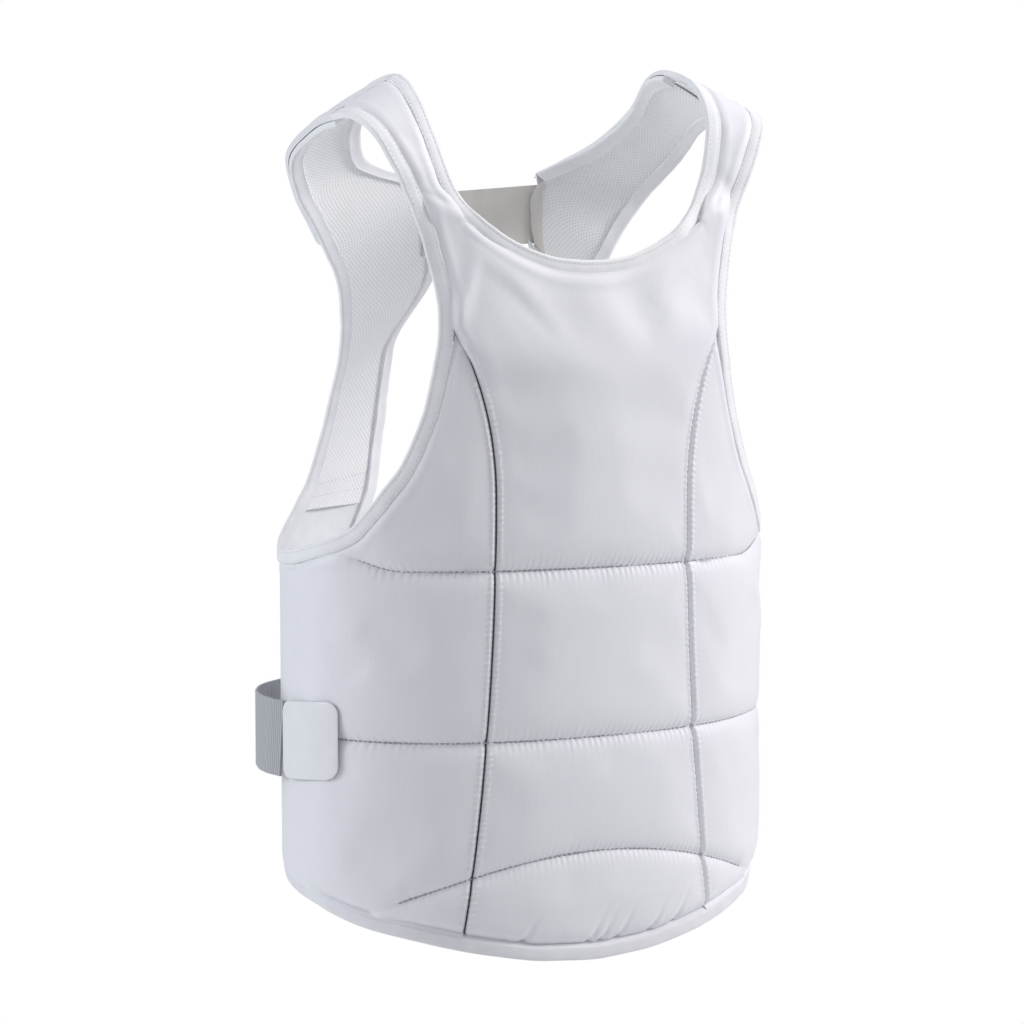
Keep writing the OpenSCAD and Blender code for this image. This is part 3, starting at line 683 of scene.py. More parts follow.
def front_points(step, with_height=True):
    strap_n, neck_n, rows_n, strap_rows = (int(round(n / step)) for n in FRONT_CELLS)
    cols = 2 * strap_n + neck_n
    i = np.arange(cols + 1)
    k = NECK_CUT / BASE_CUT
    u = k * ((i - strap_n) / neck_n * 2 - 1)
    u = np.where(i > cols - strap_n, mix(k, 1, (i - cols + strap_n) / strap_n), u)
    u = np.where(i < strap_n, mix(-1, -k, i / strap_n), u)
    U, V = np.meshgrid(u, np.arange(rows_n + 1) / rows_n)
    Z = mix(low_z(U), top_z(U), V)
    R = angle_of_x(U * shell_cut(Z), Z)
    P, N = torso(R, Z), torso_normal(R, Z)
    H = panel_height(U, Z, P) if with_height else np.zeros_like(Z)
    straps = []
    for side in (-1, 1):
        w = np.arange(strap_n + 1) / strap_n
        s = np.arange(1, strap_rows + 1) / strap_rows * (CREST - 0.02)
        S, W = np.meshgrid(s, w, indexing="ij")
        share = (TAPE - TUCK) / ribbon_wide(S, side)
        wp = mix(share, 1 - share, W)
        Q = ribbon(S, wp, 0.0, side)
        base, base_n, base_h = (strap_row(a, strap_n, side) for a in (P, N, H))
        share0 = mix(0.195, 0.795, w)
        first = ribbon(np.zeros_like(w), share0, 0.0, side)
        fade = 1 - ease(S / 1.1)
        Q = Q + (base - first)[None] * fade[..., None]
        rise = np.linalg.norm(ribbon(np.ones_like(w), share0, 0.0, side) - first, axis=-1)
        upright = base[None] + (S * rise)[..., None] * np.array([0, 0, 1.0])
        Q = mix(Q, upright, ((1 - ease(S / 1.4)) * (0.35 + 0.55 * np.sin(np.pi * W)))[..., None])
        NQ = unit(mix(ribbon_normal(S, wp, side), base_n[None], fade[..., None]))
        HQ = np.zeros_like(S)
        if with_height:
            edge = np.minimum(W, 1 - W) * (ribbon_wide(S, side) * (1 - 2 * share))
            HQ = tape_fall(edge - TUCK) + 0.35 * field(S * 2.2, W * 2.0, 3.0 + side) * ease(edge / 8)
            HQ = HQ + (base_h - HQ[0])[None] * (1 - ease(S / 1.2))
            for place, tilt, deep in STRAP_FOLDS:
                HQ = HQ - deep * np.exp(-(((S - place - tilt * (W - 0.5)) / 0.24) ** 2)) * np.sin(np.pi * W)
        straps.append({"P": Q, "N": NQ, "H": HQ, "side": side, "S": S, "W": W})
    return {"strap_n": strap_n, "P": P, "N": N, "H": H, "U": U, "Z": Z, "straps": straps}


def front_assemble(g, depths):
    """One closed sheet from the grids: outer points lifted by H, inner points a depth below the surface."""
    outer, inner, cells = [], [], []
    panel, base = None, 0
    for part, depth in zip([g] + g["straps"], depths):
        outer.append((part["P"] + part["N"] * part["H"][..., None]).reshape(-1, 3))
        inner.append((part["P"] - part["N"] * depth[..., None]).reshape(-1, 3))
        ids = base + np.arange(depth.size).reshape(depth.shape)
        base += depth.size
        if panel is None:
            panel = ids
        else:
            ids = np.vstack([strap_row(panel, g["strap_n"], part["side"]), ids])
        q = np.stack([ids[:-1, :-1], ids[:-1, 1:], ids[1:, 1:], ids[1:, :-1]], -1).reshape(-1, 4)
        cells.append(q[:, ::-1] if part.get("side") == -1 else q)
    top = np.vstack(cells)
    e = np.vstack([top[:, [0, 1]], top[:, [1, 2]], top[:, [2, 3]], top[:, [3, 0]]])
    _, first, count = np.unique(np.sort(e, 1), axis=0, return_index=True, return_counts=True)
    rim = e[first[count == 1]]
    walls = np.stack([rim[:, 1], rim[:, 0], rim[:, 0] + base, rim[:, 1] + base], -1)
    return np.vstack(outer), np.vstack(inner), np.vstack([top, top[:, ::-1] + base, walls]), top


SETTLE_FRAMES, PRESSURE, SLACK = 14, 0.3, -0.003
STRAP_WIDE = 34


def settle(name, verts, faces, pins, cap):
    """Pinned fabric puffs and creases: Cloth with pressure, no gravity. Returns how far each point moved."""
    me = bpy.data.meshes.new(name)
    me.from_pydata((verts * MM).tolist(), [], faces.tolist())
    o = placed(name, me)
    g = o.vertex_groups.new(name="pin")
    for w in np.unique(np.round(pins, 2)):
        if w > 0:
            g.add(np.nonzero(np.round(pins, 2) == w)[0].tolist(), float(w), "REPLACE")
    c = o.modifiers.new("Cloth", "CLOTH")
    st = c.settings
    st.quality, st.mass = 6, 0.25
    st.tension_stiffness = st.compression_stiffness = 25
    st.shear_stiffness, st.bending_stiffness = 8, 3.0
    st.tension_damping = st.compression_damping = 12
    st.air_damping = 4
    st.vertex_group_mass = "pin"
    st.pin_stiffness = 4
    st.shrink_min = SLACK
    st.use_pressure = True
    st.uniform_pressure_force = PRESSURE
    st.effector_weights.gravity = 0
    c.collision_settings.use_collision = False
    c.collision_settings.use_self_collision = False
    c.point_cache.frame_start, c.point_cache.frame_end = 1, SETTLE_FRAMES
    for f in range(1, SETTLE_FRAMES + 1):
        SCENE.frame_set(f)
    ev = o.evaluated_get(bpy.context.evaluated_depsgraph_get())
    co = np.empty(len(me.vertices) * 3)
    ev.data.vertices.foreach_get("co", co)
    moved = np.nan_to_num(co.reshape(-1, 3) / MM - verts)
    SCENE.frame_set(1)
    bpy.data.objects.remove(o, do_unlink=True)
    size = np.linalg.norm(moved, axis=1, keepdims=True)
    return moved * np.minimum(1, cap / np.maximum(size, 1e-6))


def soften(a):
    """Smooths along the first axis, in place, with both ends held."""
    a[1:-1] = 0.25 * a[:-2] + 0.5 * a[1:-1] + 0.25 * a[2:]


def softened(grid):
    for _ in range(4):
        soften(grid)
        grid = grid.swapaxes(0, 1)
    return grid


def resample(grid, rows, cols):
    """A grid of vectors at other row and column counts, smoothly."""
    for n in (rows, cols):
        at = np.linspace(0, len(grid) - 1, n)
        grid = curve(grid.reshape(len(grid), -1), at).reshape((n,) + grid.shape[1:]).swapaxes(0, 1)
    return grid


def hold_near(distance, reach):
    return np.exp(-(distance / reach) ** 2)


def build_front():
    fine = front_points(FINE)
    Z, U = fine["Z"], fine["U"]
    g = front_points(COARSE)
    x, z = g["P"][..., 0], g["Z"]
    top, _, _, faces = front_assemble(g, [0 * a["H"] for a in [g] + g["straps"]])
    seams = np.minimum(np.minimum(np.abs(z - LINE_1), np.abs(z - LINE_2)), np.abs(z - arch_z(x)))
    to_neck = np.where(np.abs(x) < NECK_CUT, z[-1] - z, FAR)
    edge = np.minimum(panel_cut(z) * (1 - np.abs(g["U"])), np.minimum(z - z[0], to_neck))
    hold = [hold_near(np.minimum(seams, edge), 8).ravel()]
    for a in g["straps"]:
        edge = np.minimum(a["W"], 1 - a["W"]) * STRAP_WIDE
        hold.append(np.maximum(hold_near(edge, 5), a["S"] / CREST > 0.97).ravel())
    moved = settle("front_settle", top, faces, np.concatenate(hold), 1.5)
    at = g["H"].size
    panel = softened(moved[:at].reshape(g["P"].shape))
    fine["P"] = fine["P"] + resample(panel, *Z.shape)
    for a, f in zip(g["straps"], fine["straps"]):
        own = moved[at:at + a["H"].size].reshape(a["P"].shape)
        at += a["H"].size
        full = softened(np.concatenate([strap_row(panel, g["strap_n"], a["side"])[None], own]))
        f["P"] = f["P"] + resample(full, f["H"].shape[0] + 1, f["H"].shape[1])[1:]
    edge_in = np.minimum(ease((Z - low_z(U)) / 6), ease((top_z(U) - Z) / 12))
    depths = [mix(EDGE_DEEP, FOAM_DEEP, edge_in)]
    depths += [mix(EDGE_DEEP, 3.5, ease(a["S"] / 0.8)) for a in fine["straps"]]
    outer, inner, faces, _ = front_assemble(fine, depths)
    o = new_object("front_shell", np.vstack([outer, inner]), faces.tolist(), None, 60)
    pads = ["chest_pad", "abdomen_pad", "waist_pad", "belly_pad", "strap_pad_left", "strap_pad_right"]
    finish_piece(o, M_SHELL, ["front_cover"] + pads)


# ---- side shells
def to_tape(s):
    p, n, w = framed(arm_point, np.asarray(s, float), 0.1, 1)
    q = p + (TAPE - TUCK) * w
    a = angle_of_x(q[..., 0], q[..., 2])
    return np.stack([np.where(q[..., 1] > 0, 180 - a, a), q[..., 2]], -1)


def side_seam(v):
    z = mix(SEAM_LOW, SEAM_HIGH, v)
    return np.stack([angle_of_x(panel_cut(z) + GAP, z), z], -1)


def side_top(u):
    p = to_tape(mix(3.12, ARM_LAST, u ** 0.8))
    start = side_seam(np.ones(1))[0]
    return mix(start, p, ease(u * 8)[..., None])


def side_hem(u):
    r = mix(side_seam(np.zeros(1))[0, 0], REAR, u)
    return np.stack([r, hem_z(r) - TUCK], -1)


def coons(u, v):
    one, zero = np.ones(1), np.zeros(1)
    rear = mix(side_hem(one)[0], side_top(one)[0], v[..., None])
    V, U = v[..., None], u[..., None]
    c00, c10 = side_hem(zero)[0], side_hem(one)[0]
    c01, c11 = side_top(zero)[0], side_top(one)[0]
    return (mix(side_hem(u), side_top(u), V) + mix(side_seam(v), rear, U)
            - mix(mix(c00, c10, U), mix(c01, c11, U), V))


def side_fields(nu, nv, side):
    u, v = unit_grid(nu + 1, nv + 1)
    R, Z = np.moveaxis(coons(u, v), -1, 0)
    P, N = torso(R, Z), torso_normal(R, Z)
    d_seam = np.abs(P[..., 0] - panel_cut(Z) - GAP)
    H = quilt_height(P[..., 0], Z, R, d_seam, 1.0) + side_fall(d_seam, Z, 8.0 + side)
    H = H + tape_fall((side_top(u)[..., 1] - Z) * 0.8 - TUCK)
    H = H + soft_lumps(P * np.array([side, 1, 1]) + np.array([0, 0, 30]), 0.5) * ease((R - 32) / 6)
    H = H - 1.3 * ease((R - PAD_END) / 14) * (1 - 0.3 * ease((R - 112) / 4))
    return v, R, Z, mirror(P, side), mirror(N, side), H


def side_depth(v, R, near, far, ramp):
    """Foam depth behind the side cover, thin at the hem, the armhole and past the end of the foam."""
    return mix(near, far, ease(v / ramp) * ease((PAD_END + 12 - R) / 10) * ease((1 - v) / ramp))


def build_side(side, name):
    nu, nv = 170, 300
    v, R, Z, P, N, H = side_fields(nu, nv, side)
    cu, cv = 44, 66
    _, r, z, p, n, h = side_fields(cu, cv, side)
    lines = [np.where(r < 68, np.abs(z - line_1_z(r)), FAR),
             np.where(r < PAD_END, np.abs(z - LINE_2), FAR),
             np.where(np.abs(p[..., 0]) < 150, np.abs(z - arch_z(p[..., 0])), FAR),
             (r - r[:, :1]) * 2.4, (r[:, -1:] - r) * 2.6, z - z[0], z[-1] - z]
    hold = np.maximum(hold_near(np.min(lines, axis=0), 8), 0.5 * ease((r - PAD_END) / 20))
    top = (p + n * h[..., None]).reshape(-1, 3)
    moved = settle("side_settle", top, quads(cu, cv, 0, side < 0), hold.ravel(), 1.3)
    P = P + resample(softened(moved.reshape(p.shape)), nv + 1, nu + 1)
    deep = side_depth(v, R, EDGE_DEEP, FOAM_DEEP, 0.0208)
    o = slab("side_shell_" + name, P + N * H[..., None], P - N * deep[..., None], None, side < 0, 60)
    pads = ["side_pad_%s_%s" % (k, name) for k in ("upper", "middle", "lower", "hem")]
    finish_piece(o, M_SHELL, ["side_cover_" + name] + pads)


build_front()
for sd, nm in SIDES[::-1]:
    build_side(sd, nm)

# ---- linings
LIN_NEAR, LIN_FAR = 1.3, 12.8


def finish_sheet(o, mat, node, body="vest"):
    """Finishes a sheet of cloth."""
    finish_piece(o, mat, (node,), body)


def build_front_lining():
    g = front_points(COARSE, False)
    U, Z = g["U"], g["Z"]
    to_arm = panel_cut(Z) * (1 - np.abs(U))
    ramp = 1 - ease((Z - 118) / 14) * (1 - ease(to_arm / 11))
    depth = mix(LIN_NEAR, LIN_FAR, ramp * ease((top_z(U) - Z) / 12) * ease((Z - low_z(U)) / 6))
    depth = depth + 0.35 + 0.35 * field(g["P"][..., 0] / 30, Z / 33, 7.0) * ease(to_arm / 10)
    g["H"] = -depth
    for a in g["straps"]:
        a["H"] = -mix(LIN_NEAR, 4.3, ease(a["S"] / 0.7))
    outer, inner, faces, _ = front_assemble(g, [LINING_T - a["H"] for a in [g] + g["straps"]])
    both = np.vstack([outer, inner])
    o = new_object("front_mesh", both, faces.tolist(), {"along": both[:, 2], "across": both[:, 0]}, 50)
    finish_sheet(o, M_MESH, "front_lining")


def build_side_lining(side, name):
    u, v = unit_grid(51, 71)
    R, Z = np.moveaxis(coons(u, v), -1, 0)
    P, N = mirror(torso(R, Z), side), mirror(torso_normal(R, Z), side)
    d = side_depth(v, R, LIN_NEAR, LIN_FAR, 0.02)[..., None] + 0.3
    at = {"along": Z, "across": R * 2.6}
    o = slab("side_mesh_" + name, P - N * d, P - N * (d + LINING_T), at, side < 0)
    finish_sheet(o, M_MESH, "side_lining_" + name)


build_front_lining()
for sd, nm in SIDES[::-1]:
    build_side_lining(sd, nm)

# ---- bindings
# the folded tape in section: (from its edge inwards, outwards)
TAPE_SECTION = [(0.0, -3.2), (-0.55, -2.9), (-0.75, -1.4), (-0.45, 0.1), (0.2, 0.75), (1.2, 0.95),
                (1.9, 0.72), (3.2, 0.98), (5.4, 1.0), (7.1, 0.98), (7.9, 0.72), (8.6, 0.82), (9.0, 0.45),
                (9.1, 0.0), (9.0, -3.2), (8.5, -3.55), (7.8, -3.3), (5, -3.6), (2.2, -3.35), (1.0, -3.6)]
TAPE_TOP = np.array(TAPE_SECTION[3:14])
STITCH_ROWS = (1.9, 7.8)
TAPE_STEP = 2.2


def ribbon_path(s, side, w, inward, sunk=False):
    s = np.asarray(s, float)
    n = ribbon_normal(s, np.full_like(s, float(w)), side)
    p = neck_side(s, side) if w == 0 else arm_side(s, side)
    across = arm_side(s, side) - neck_side(s, side)
    q = inward * unit(across - (across * n).sum(-1, keepdims=True) * n)
    if sunk:
        p = p + wing_off(s)[..., None] * n
    return p, n, q


def joined(*parts):
    return tuple(np.concatenate([p[i] for p in parts]) for i in range(3))


THREAD_LINES = []


def tape(name, f, replaced, flutter):
    pts, at = polyline(f[0], TAPE_STEP)
    f = [pts, unit(columns_at(f[1], at)), unit(columns_at(f[2], at))]
    for a in f * 4:
        soften(a)
    nn, qq = unit(f[1]), unit(f[2])
    d = np.arange(len(pts)) * TAPE_STEP
    lift, shift = flutter * wave(d / 21, len(name)), 0.25 * wave(d / 15, 3 + len(name))
    pts = f[0] + nn * lift[:, None] + qq * shift[:, None]
    for row in STITCH_ROWS:
        THREAD_LINES.append(((pts + qq * row + nn * 0.78)[1:-1], nn[1:-1]))
    finish_piece(loft(name, pts, nn, qq, TAPE_SECTION), M_TAPE, replaced)


def back_point(s, off=0.0):
    p = curve(BACK_EDGE, s)
    return torso(p[..., 0], p[..., 1], back_dip(p[..., 0], p[..., 1]) + off)


for sd, nm in SIDES:
    strap = ribbon_path(np.arange(CREST - 0.01, 0.29, -0.15), sd, 1, -1)
    under = [mirror(a, sd) for a in framed(arm_point, np.arange(0.5, ARM_LAST + 0.01, 0.125), 0.1, 1)]
    wing = ribbon_path(np.arange(15.6, CREST - 0.1, -0.15), sd, 1, -1, True)
    tape("armhole_tape_" + nm, joined(strap, under, wing), ("armhole_binding_" + nm,), 0.25)
    inner = ribbon_path(np.arange(CREST - 0.1, 10.01 - spine_lift(sd), 0.12), sd, 0, 1, True)
    tape("wing_neck_tape_" + nm, inner, ("wing_neck_binding_" + nm,), 0.25)
    low = ribbon_path(np.arange(12.25 - spine_lift(sd), 15.96, 0.12), sd, 0, 1, True)
    free = [mirror(a, sd) for a in framed(back_point, np.arange(4.5, -0.01, -0.1), 0.1, -1)]
    tape("back_edge_tape_" + nm, joined(low, free), ("back_edge_binding_" + nm,), 0.4)

left = ribbon_path(np.arange(CREST - 0.01, 0.29, -0.15), 1, 0, 1)
right = ribbon_path(np.arange(0.34, CREST, 0.15), -1, 0, 1)
across = framed(lambda x, off=0.0: front(x, neck_z(x), off), np.arange(68.0, -68.1, -3.4), -1.0, -1)
tape("neck_tape", joined(left, across, right), ("neck_binding",), 0.2)

# hem band: a flat tape, its hem line smoothed; its darker cloth is painted shade under the belly pad
hr = np.linspace(-BACK_EDGE[0, 0], BACK_EDGE[0, 0], 360)
hz = np.convolve(np.pad(hem_z(hr), 4, mode="edge"), np.ones(9) / 9, "valid")
down, out = np.array([(9.5, -1.9), (9.2, -1.0), (8.6, -0.75), (7.3, -0.55), (5.5, -0.5), (3.6, -0.55),
                      (2, -0.7), (0.8, -0.95), (0.25, -1.6), (0, -2.6)]).T[..., None]
o = slab("hem_tape", torso(hr, hz - 0.5 - down, out + 0.25 * wave(hr / 5.0, 4) * (down / 9.5)),
         torso(hr, hz - 0.5 - down, -3.2), None, False, 50)
finish_piece(o, M_HEM_SHADED, ("hem_band",))

# ---- seams and quilting threads; the seam strips and the quilting thread carry painted shade
# each princess seam gets a thin strip whose colour is painted shade for the gap: near black on the right
# side, soft grey on the left
for sd, nm, mat, low, wide, lift in ((-1, "right", M_SEAM_SHADOW, SEAM_LOW, 0.8, 0.35),
                                     (1, "left", M_SHADE, SEAM_LOW + 6, 0.5, -0.1)):
    z = np.arange(low, 131.0, 1.5)
    x = panel_cut(z) + GAP / 2
    r = angle_of_x(x, z)
    floor = np.maximum(quilt_height(x, z, r, 0 * z, 0.0) - GROOVE_V, -6.4) + lift
    line, nrm = mirror(torso(r, z, floor), sd), mirror(torso_normal(r, z), sd)
    sec = [(-wide, -1.2), (-wide, 0.0), (-0.5 * wide, 0.4), (0.5 * wide, 0.4), (wide, 0.0), (wide, -1.2)]
    o = loft("princess_seam_shade_" + nm, line, nrm, unit(np.cross(nrm, np.gradient(line, axis=0))), sec)
    finish_piece(o, mat, ())

# seam allowance behind the top of each princess seam, tucked under the armhole tape
for sd, nm in SIDES:
    u, z = np.meshgrid(np.linspace(-4.5, 5.5, 9), np.linspace(112, 140, 15))
    r = angle_of_x(np.minimum(panel_cut(z) + u, arm_x(z) - 2), z)
    off = -1.9 - 0.8 * ease((z - SEAM_HIGH) / 6)
    top, low = (mirror(torso(r, z, off - below), sd) for below in (0, 0.8))
    o = slab("seam_allowance_" + nm, top, low, None, sd < 0)
    finish_piece(o, M_SHELL, ())

line_1, line_2 = np.arange(-62, 62, 0.6), np.arange(-70, 74, 0.6)
x = np.arange(-127.2, 127.3, 1.2)
arch = angle_of_x(x, arch_z(x))
fade = 0.9 * ease((arch_z(x) - hem_z(arch) - 5) / 12)
quilt = [(torso(r, z, -GROOVE_H * share * thinner(r) + 0.6), torso_normal(r, z)) for r, z, share in (
    (line_1, line_1_z(line_1), 1), (line_2, LINE_2 + 0 * line_2, 1), (arch, arch_z(x), fade))]
# the stitches' dark colour is painted shade of the grooves they sit in
stitches("quilt_stitches", quilt, (3.4, 2.9, 0.6), M_QUILT_SHADE)

# ---- wings
WING_GRID, SEWN_ROWS = (27, 171), (167, 164)    # points across and along a wing; its rows that are sewn
for sd, nm in SIDES:
    u, v = unit_grid(*WING_GRID)
    s = mix(CREST + 0.15, WING_END, v)
    share = (TAPE - TUCK) / ribbon_wide(s, sd)
    w = mix(share, 1 - share, u)
    loose = 0.25 * field(s * 1.3, u * 1.5, 5 + sd) * np.sin(np.pi * u)
    long = run_of(ribbon(s, w, 0, sd)[:, WING_GRID[0] // 2])
    at = {"along": np.broadcast_to(long[:, None], s.shape), "across": w * ribbon_wide(s, sd)}
    off = wing_off(s) + loose
    o = slab("wing_fabric_" + nm, ribbon(s, w, off, sd), ribbon(s, w, off - 0.7, sd), at, sd < 0)
    finish_sheet(o, M_PLAIN, "wing_shell_" + nm)
    close = 0.55 * ease((s - 15.5) / 0.4)
    s = s - 0.3 * (1 - ease((s - CREST) / 1.2))
    off = wing_off(s) + loose
    back = ribbon(s, w, off - 2.1 + close * 1.6, sd)
    for row in SEWN_ROWS:
        THREAD_LINES.append((back[row], -ribbon_normal(s[row], w[row], sd)))
    o = slab("wing_mesh_" + nm, ribbon(s, w, off - 1.3 + close, sd), back, at, sd < 0)
    finish_sheet(o, M_MESH, "wing_lining_" + nm)

    # plain back panel below the wing
    u, v = unit_grid(49, 121)
    low, high = side_hem(np.ones(1))[0], side_top(np.ones(1))[0]
    outer = mix(low, high, v[..., None]) + np.stack([0 * v - 0.9, -v], -1)
    inner = curve(BACK_EDGE, 5 * v) + np.stack([0 * v - 3.2, mix(-1.5, 2.0, v)], -1)
    top_line = np.array([high + [-0.9, -1], [126.5, -8.5], [132, 3.0], [151.4, 6.8]])
    rise = curve(top_line, 3 * u[-1]) - mix(outer[-1], inner[-1], u[-1, :, None])
    rz = mix(outer, inner, u[..., None]) + v[..., None] ** 4 * rise[None]
    r, z = rz[..., 0], rz[..., 1]
    below_top = (1 - v) * 230
    edge = np.minimum(np.minimum(u, 1 - u) * 70, below_top)
    sag = 0.9 * field(r / 9, z / 38, 2 + sd) * ease(edge / 18) + back_dip(r, z)
    seam = -0.7 * np.exp(-(below_top - 7) ** 2 / 2.2)
    under = 1.8 * (1 - ease(u * 9))
    o = slab("back_fabric_" + nm, mirror(torso(r, z, sag + seam - 0.2 - under), sd),
             mirror(torso(r, z, sag - 1.5 - under * 0.6), sd), None, sd < 0)
    finish_sheet(o, M_PLAIN, "back_panel_" + nm)

stitches("tape_stitches", THREAD_LINES, SEWN, M_THREAD)

# ---- spine elastic
SPINE_LOW, SPINE_HIGH = 12.1, 10.05     # the places on a wing that the elastic's edges reach
u, v = unit_grid(61, 25)
s = mix(SPINE_LOW, SPINE_HIGH, v)
ends = [ribbon(t, (TAPE + GAP) / ribbon_wide(t, sd), wing_off(t) - 0.8, sd)
        for sd, t in ((-1, s), (1, s - spine_lift(1)))]
ripple = 0.175 * np.sin(u * 40 + 3 * v) * (1 - v * (1 - v) * 2)
middle = mix(*ends, mix(-0.02, 1.02, u)[..., None]) + np.stack([0 * u, 1.2 + ripple, 0 * u], -1)
o = slab("spine_band", middle + [0, 0.6, 0], middle - [0, 0.6, 0], {"along": u * 95, "across": v * 40}, True)
finish_sheet(o, M_SPINE, "spine_elastic")
for sd, nm in SIDES:
    u, v = unit_grid(13, 21)
    s = mix(SPINE_LOW + 0.05, SPINE_HIGH, v) - spine_lift(sd)
    reach = (11 if sd > 0 else 6) * (1 - 0.65 * ease((v - 0.62) / 0.38))
    w = (TAPE - 1 + reach * u) / ribbon_wide(s, sd)
    off, at = wing_off(s), {"along": u * 16, "across": v * 40}
    low = ribbon(s, w, off - 4.1 - 0.3 * np.sin(u * np.pi), sd)
    o = slab("spine_fold_" + nm, ribbon(s, w, off - 2.5, sd), low, at, sd < 0)
    finish_piece(o, M_SPINE, ("spine_end_" + nm,))

# ---- shoulder flaps
FLAP_SEEN, FLAP_ROWS = 110, 120     # length of a flap past the crest; rows of its grid
# where a flap is sewn: the rows of its side stitches, and the row and columns of its end stitches
SIDE_SEWN, END_SEWN = slice(2, 118), (114, slice(6, 26))
for sd, nm in SIDES:
    bend = ("vest", "flap_" + nm, ribbon(CREST + 0.05, 0.5, 0, sd), ribbon(CREST + 1.2, 0.5, 0, sd))
    even = np.concatenate([np.linspace(0, 0.19, 15), np.linspace(0.21, 0.79, 13), np.linspace(0.81, 1, 15)])
    u, v = np.meshgrid(even, np.linspace(0, 1, FLAP_ROWS))
    corner = 0.2 * ease((np.abs(u - 0.5) - 0.38) / 0.12) * ease((v - 0.8) / 0.2)
    s = mix(CREST, FLAP_END, v) - corner
    wide = ribbon_wide(s, sd)
    edge = np.minimum(u, 1 - u) * wide
    to_end = (1 - v) * FLAP_SEEN
    rim = np.interp(edge, *TAPE_TOP.T) - 0.35 * np.exp(-((edge - 8.9) / 0.5) ** 2)
    cloth = 0.05 + 0.25 * field(s * 1.6, u * 2, 2 + sd) * np.sin(np.pi * u)
    height = np.where(edge < TAPE, rim, cloth) - 0.5 * np.exp(-(to_end / 1.2) ** 2)
    height = height + 0.2 * np.exp(-((to_end - 3) / 2.6) ** 4) * (edge > TAPE)
    top, low = ribbon(s, u, height, sd), ribbon(s, u, -1.25 - 2.1 * np.exp(-(edge / 2.2) ** 2), sd)
    o = slab("strap_flap_" + nm, top, low, None, sd < 0)
    finish_sheet(o, M_SHELL, "shoulder_flap_" + nm, bend)
    lines, t = [], s[:, 15]
    for row in STITCH_ROWS:
        for w in (row / wide[:, 0], 1 - row / wide[:, 0]):
            lines.append((ribbon(t, w, 0.72, sd)[SIDE_SEWN], ribbon_normal(t, w, sd)[SIDE_SEWN]))
    lines.append((top[END_SEWN], ribbon_normal(s, u, sd)[END_SEWN]))
    stitches("flap_stitches_" + nm, lines, SEWN, M_THREAD, bend)
    for kind, mat, body, first, last, margin, off, thick in (
            ("hook", M_HOOK, "flap_" + nm, 6.4, FLAP_END - 0.3, 12, -1.7, 0.8),
            ("loop", M_LOOP, "vest", 5.6, FLAP_END + 0.2, 11, -2.9, 1.0)):
        u, v = unit_grid(17, 50)
        s = mix(first, last, v)
        w = mix(margin / ribbon_wide(s, sd), 1 - margin / ribbon_wide(s, sd), u)
        top, low = ribbon(s, w, off, sd), ribbon(s, w, off - thick, sd)
        o = slab("strap_%s_%s" % (kind, nm), top, low, None, sd < 0)
        finish_piece(o, mat, ("shoulder_%s_%s" % (kind, nm),), body)

# ---- waist belt
BELT_HALF = 25
t = np.linspace(0, len(BELT) - 1, 240)
centre, ahead = curve(BELT, t), curve(BELT, t + 0.05) - curve(BELT, t - 0.05)
outward = unit(np.stack([ahead[..., 1], -ahead[..., 0]], -1))
run, across = np.meshgrid(run_of(centre), np.linspace(-BELT_HALF, BELT_HALF, 27))
lean = 1.6 * ease((t - 9) / 2)[None, :] * (-across / BELT_HALF) + 0.12 * np.sin(run / 3.1)


def belt_sheet(depth):
    xy = centre[None] + (lean - depth)[..., None] * outward[None]
    return np.concatenate([xy, (BELT_Z + across)[..., None]], -1)


o = slab("belt_webbing", belt_sheet(0.05), belt_sheet(1.5), {"along": run, "across": across})
bend = ("vest", "belt", [*curve(BELT, 0.1), BELT_Z], [*curve(BELT, 1.6), BELT_Z])
finish_sheet(o, M_BELT, "waist_elastic", body=bend)


def side_plate(name, ends, half, radius, off, thick, rise, mat, body, node, slot_name):
    """A plate on the vest's side, with rounded corners and a stitch line pressed in near its edge."""
    u, v = unit_grid(41, 41, -1)
    length = abs(ends[1] - ends[0]) * 2.02
    k = np.clip((np.abs(v) - 1 + radius / half) / (radius / half), 0, 1)
    pull = 1 - 2 * radius / length * (1 - np.sqrt(1 - k ** 2 * 0.999))
    r = mix(*ends, (u * pull + 1) / 2)
    z = BELT_Z + rise * (1 - (np.abs(r) - 63) / 31) + v * half
    edge = np.minimum((1 - np.abs(u)) * length / 2, (1 - np.abs(v)) * half)
    top = torso(r, z, off - 0.5 * np.exp(-edge / 0.8) - 0.22 * np.exp(-((edge - 2.6) / 0.5) ** 2))
    o = slab(name, top, torso(r, z, off - thick), None, ends[1] < ends[0], 50)
    finish_piece(o, mat, (node,), body)


bend = ("belt", "tab", torso(-93.5, BELT_Z, 2), torso(-86.5, BELT_Z, 2))
for plate in (
        ("belt_patch", (82, 104), 28, 3, 2.4, 2.0, 0, M_PLAIN, "vest", "belt_anchor_patch", "tab_white"),
        ("tab_loop_field", (-93.5, -64), 24, 3, 1.1, 0.8, 8, M_LOOP, "vest", "waist_loop_field",
         "loop_white"),
        ("tab_hook", (-92, -65), 22, 3, 2.1, 0.7, 8, M_HOOK, bend, "waist_hook", "hook_white"),
        ("tab_plate", (-94, -63), 25.5, 9, 3.6, 1.3, 8, M_TAB, bend, "waist_tab", "tab_white")):
    side_plate(*plate)

# ---- studio
VIEW, FOCAL, SENSOR, DISTANCE, ASIDE = (-25.0, 5.5), 93.0, 36.0, 1.8, 0.0068
FLOOR_HALF, FLOOR_DROP = 14.0, 0.42     # half the floor's side, and how far it lies below the vest


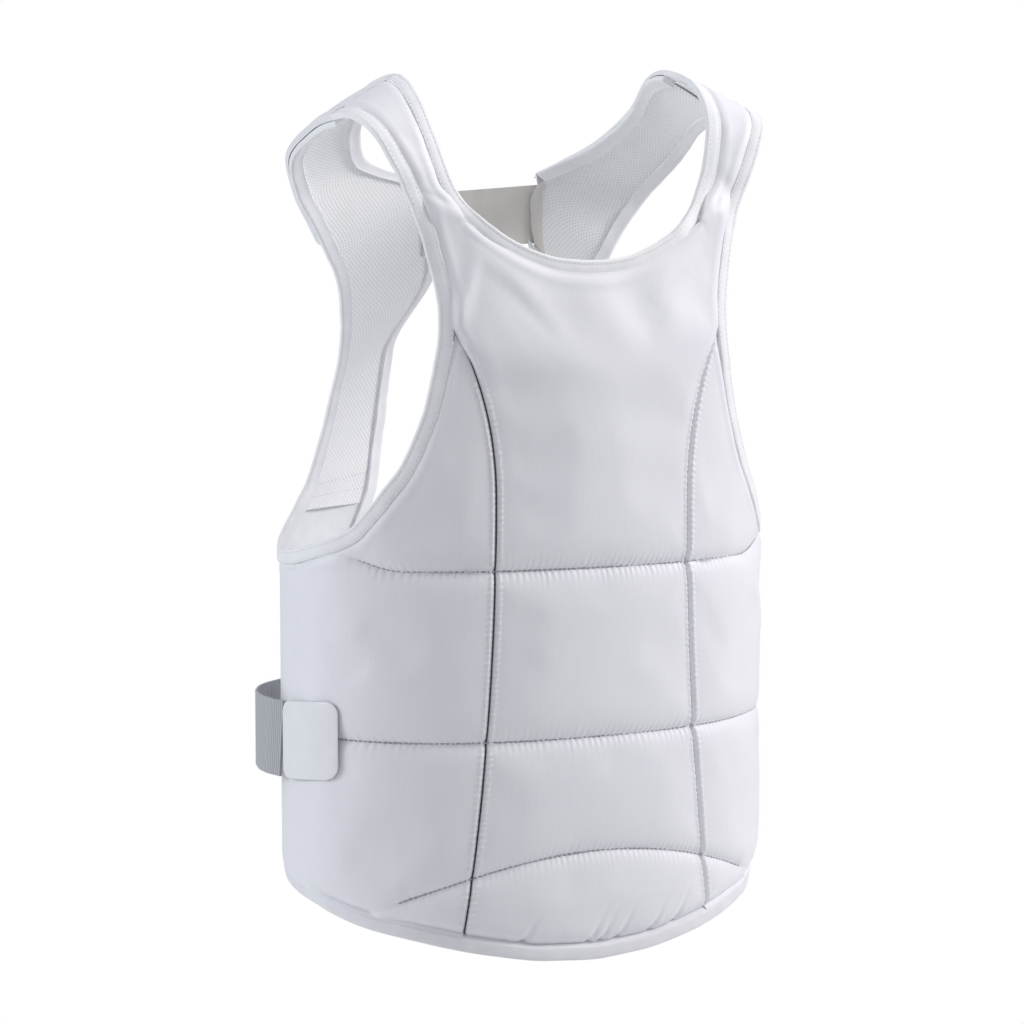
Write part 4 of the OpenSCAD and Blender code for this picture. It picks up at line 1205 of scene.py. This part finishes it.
def towards(azimuth, elevation):
    a, e = math.radians(azimuth), math.radians(elevation)
    return Vector((math.sin(a) * math.cos(e), -math.cos(a) * math.cos(e), math.sin(e)))


def aimed(name, data, direction, place):
    o = placed(name, data)
    o.location = place
    o.rotation_euler = direction.to_track_quat("Z", "Y").to_euler()
    return o


cam_data = bpy.data.cameras.new("camera")
cam_data.lens, cam_data.sensor_width = FOCAL, SENSOR
right = Vector((math.cos(math.radians(VIEW[0])), math.sin(math.radians(VIEW[0])), 0))
eye = towards(*VIEW)
SCENE.camera = aimed("camera", cam_data, eye, eye * DISTANCE - right * ASIDE)

fz = float(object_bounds()[0][2]) - FLOOR_DROP
floor_me = bpy.data.meshes.new("floor")
corners = [(x * FLOOR_HALF, y * FLOOR_HALF, fz) for x, y in ((-1, -1), (1, -1), (1, 1), (-1, 1))]
floor_me.from_pydata(corners, [], [(0, 1, 2, 3)])
fm = Nodes("floor_paint")
fm.done(fm.ramp(fm.noise(0.6, 2), (0.78, 0.78, 0.78), (0.80, 0.80, 0.80)), 0.9)
white_for_camera(fm.t, fm.bsdf, fm.add("ShaderNodeEmission"), "Material Output")
floor_me.materials.append(fm.mat)
placed("floor", floor_me)

for name, place, distance, size, power, color in (("key", (64, 34), 2.6, 1.0, 47, (1.0, 0.975, 0.985)),
                                                  ("rim", (-106, 16), 2.6, 1.4, 27, (0.90, 0.95, 1.0)),
                                                  ("top", (-10, 80), 2.4, 1.0, 9, (1, 1, 1))):
    data = bpy.data.lights.new(name, "AREA")
    data.shape, data.size, data.energy, data.color = "DISK", size, power, color
    aimed(name, data, towards(*place), towards(*place) * distance)

world = bpy.data.worlds.new("world")
world.use_nodes = True
soft, seen = world.node_tree.nodes["Background"], world.node_tree.nodes.new("ShaderNodeBackground")
soft.inputs[0].default_value, soft.inputs[1].default_value = (0.935, 0.96, 1.0, 1), 0.455
seen.inputs[0].default_value = (1, 1, 1, 1)
white_for_camera(world.node_tree, soft, seen, "World Output")
SCENE.world = world
SCENE.view_settings.view_transform = "Standard"
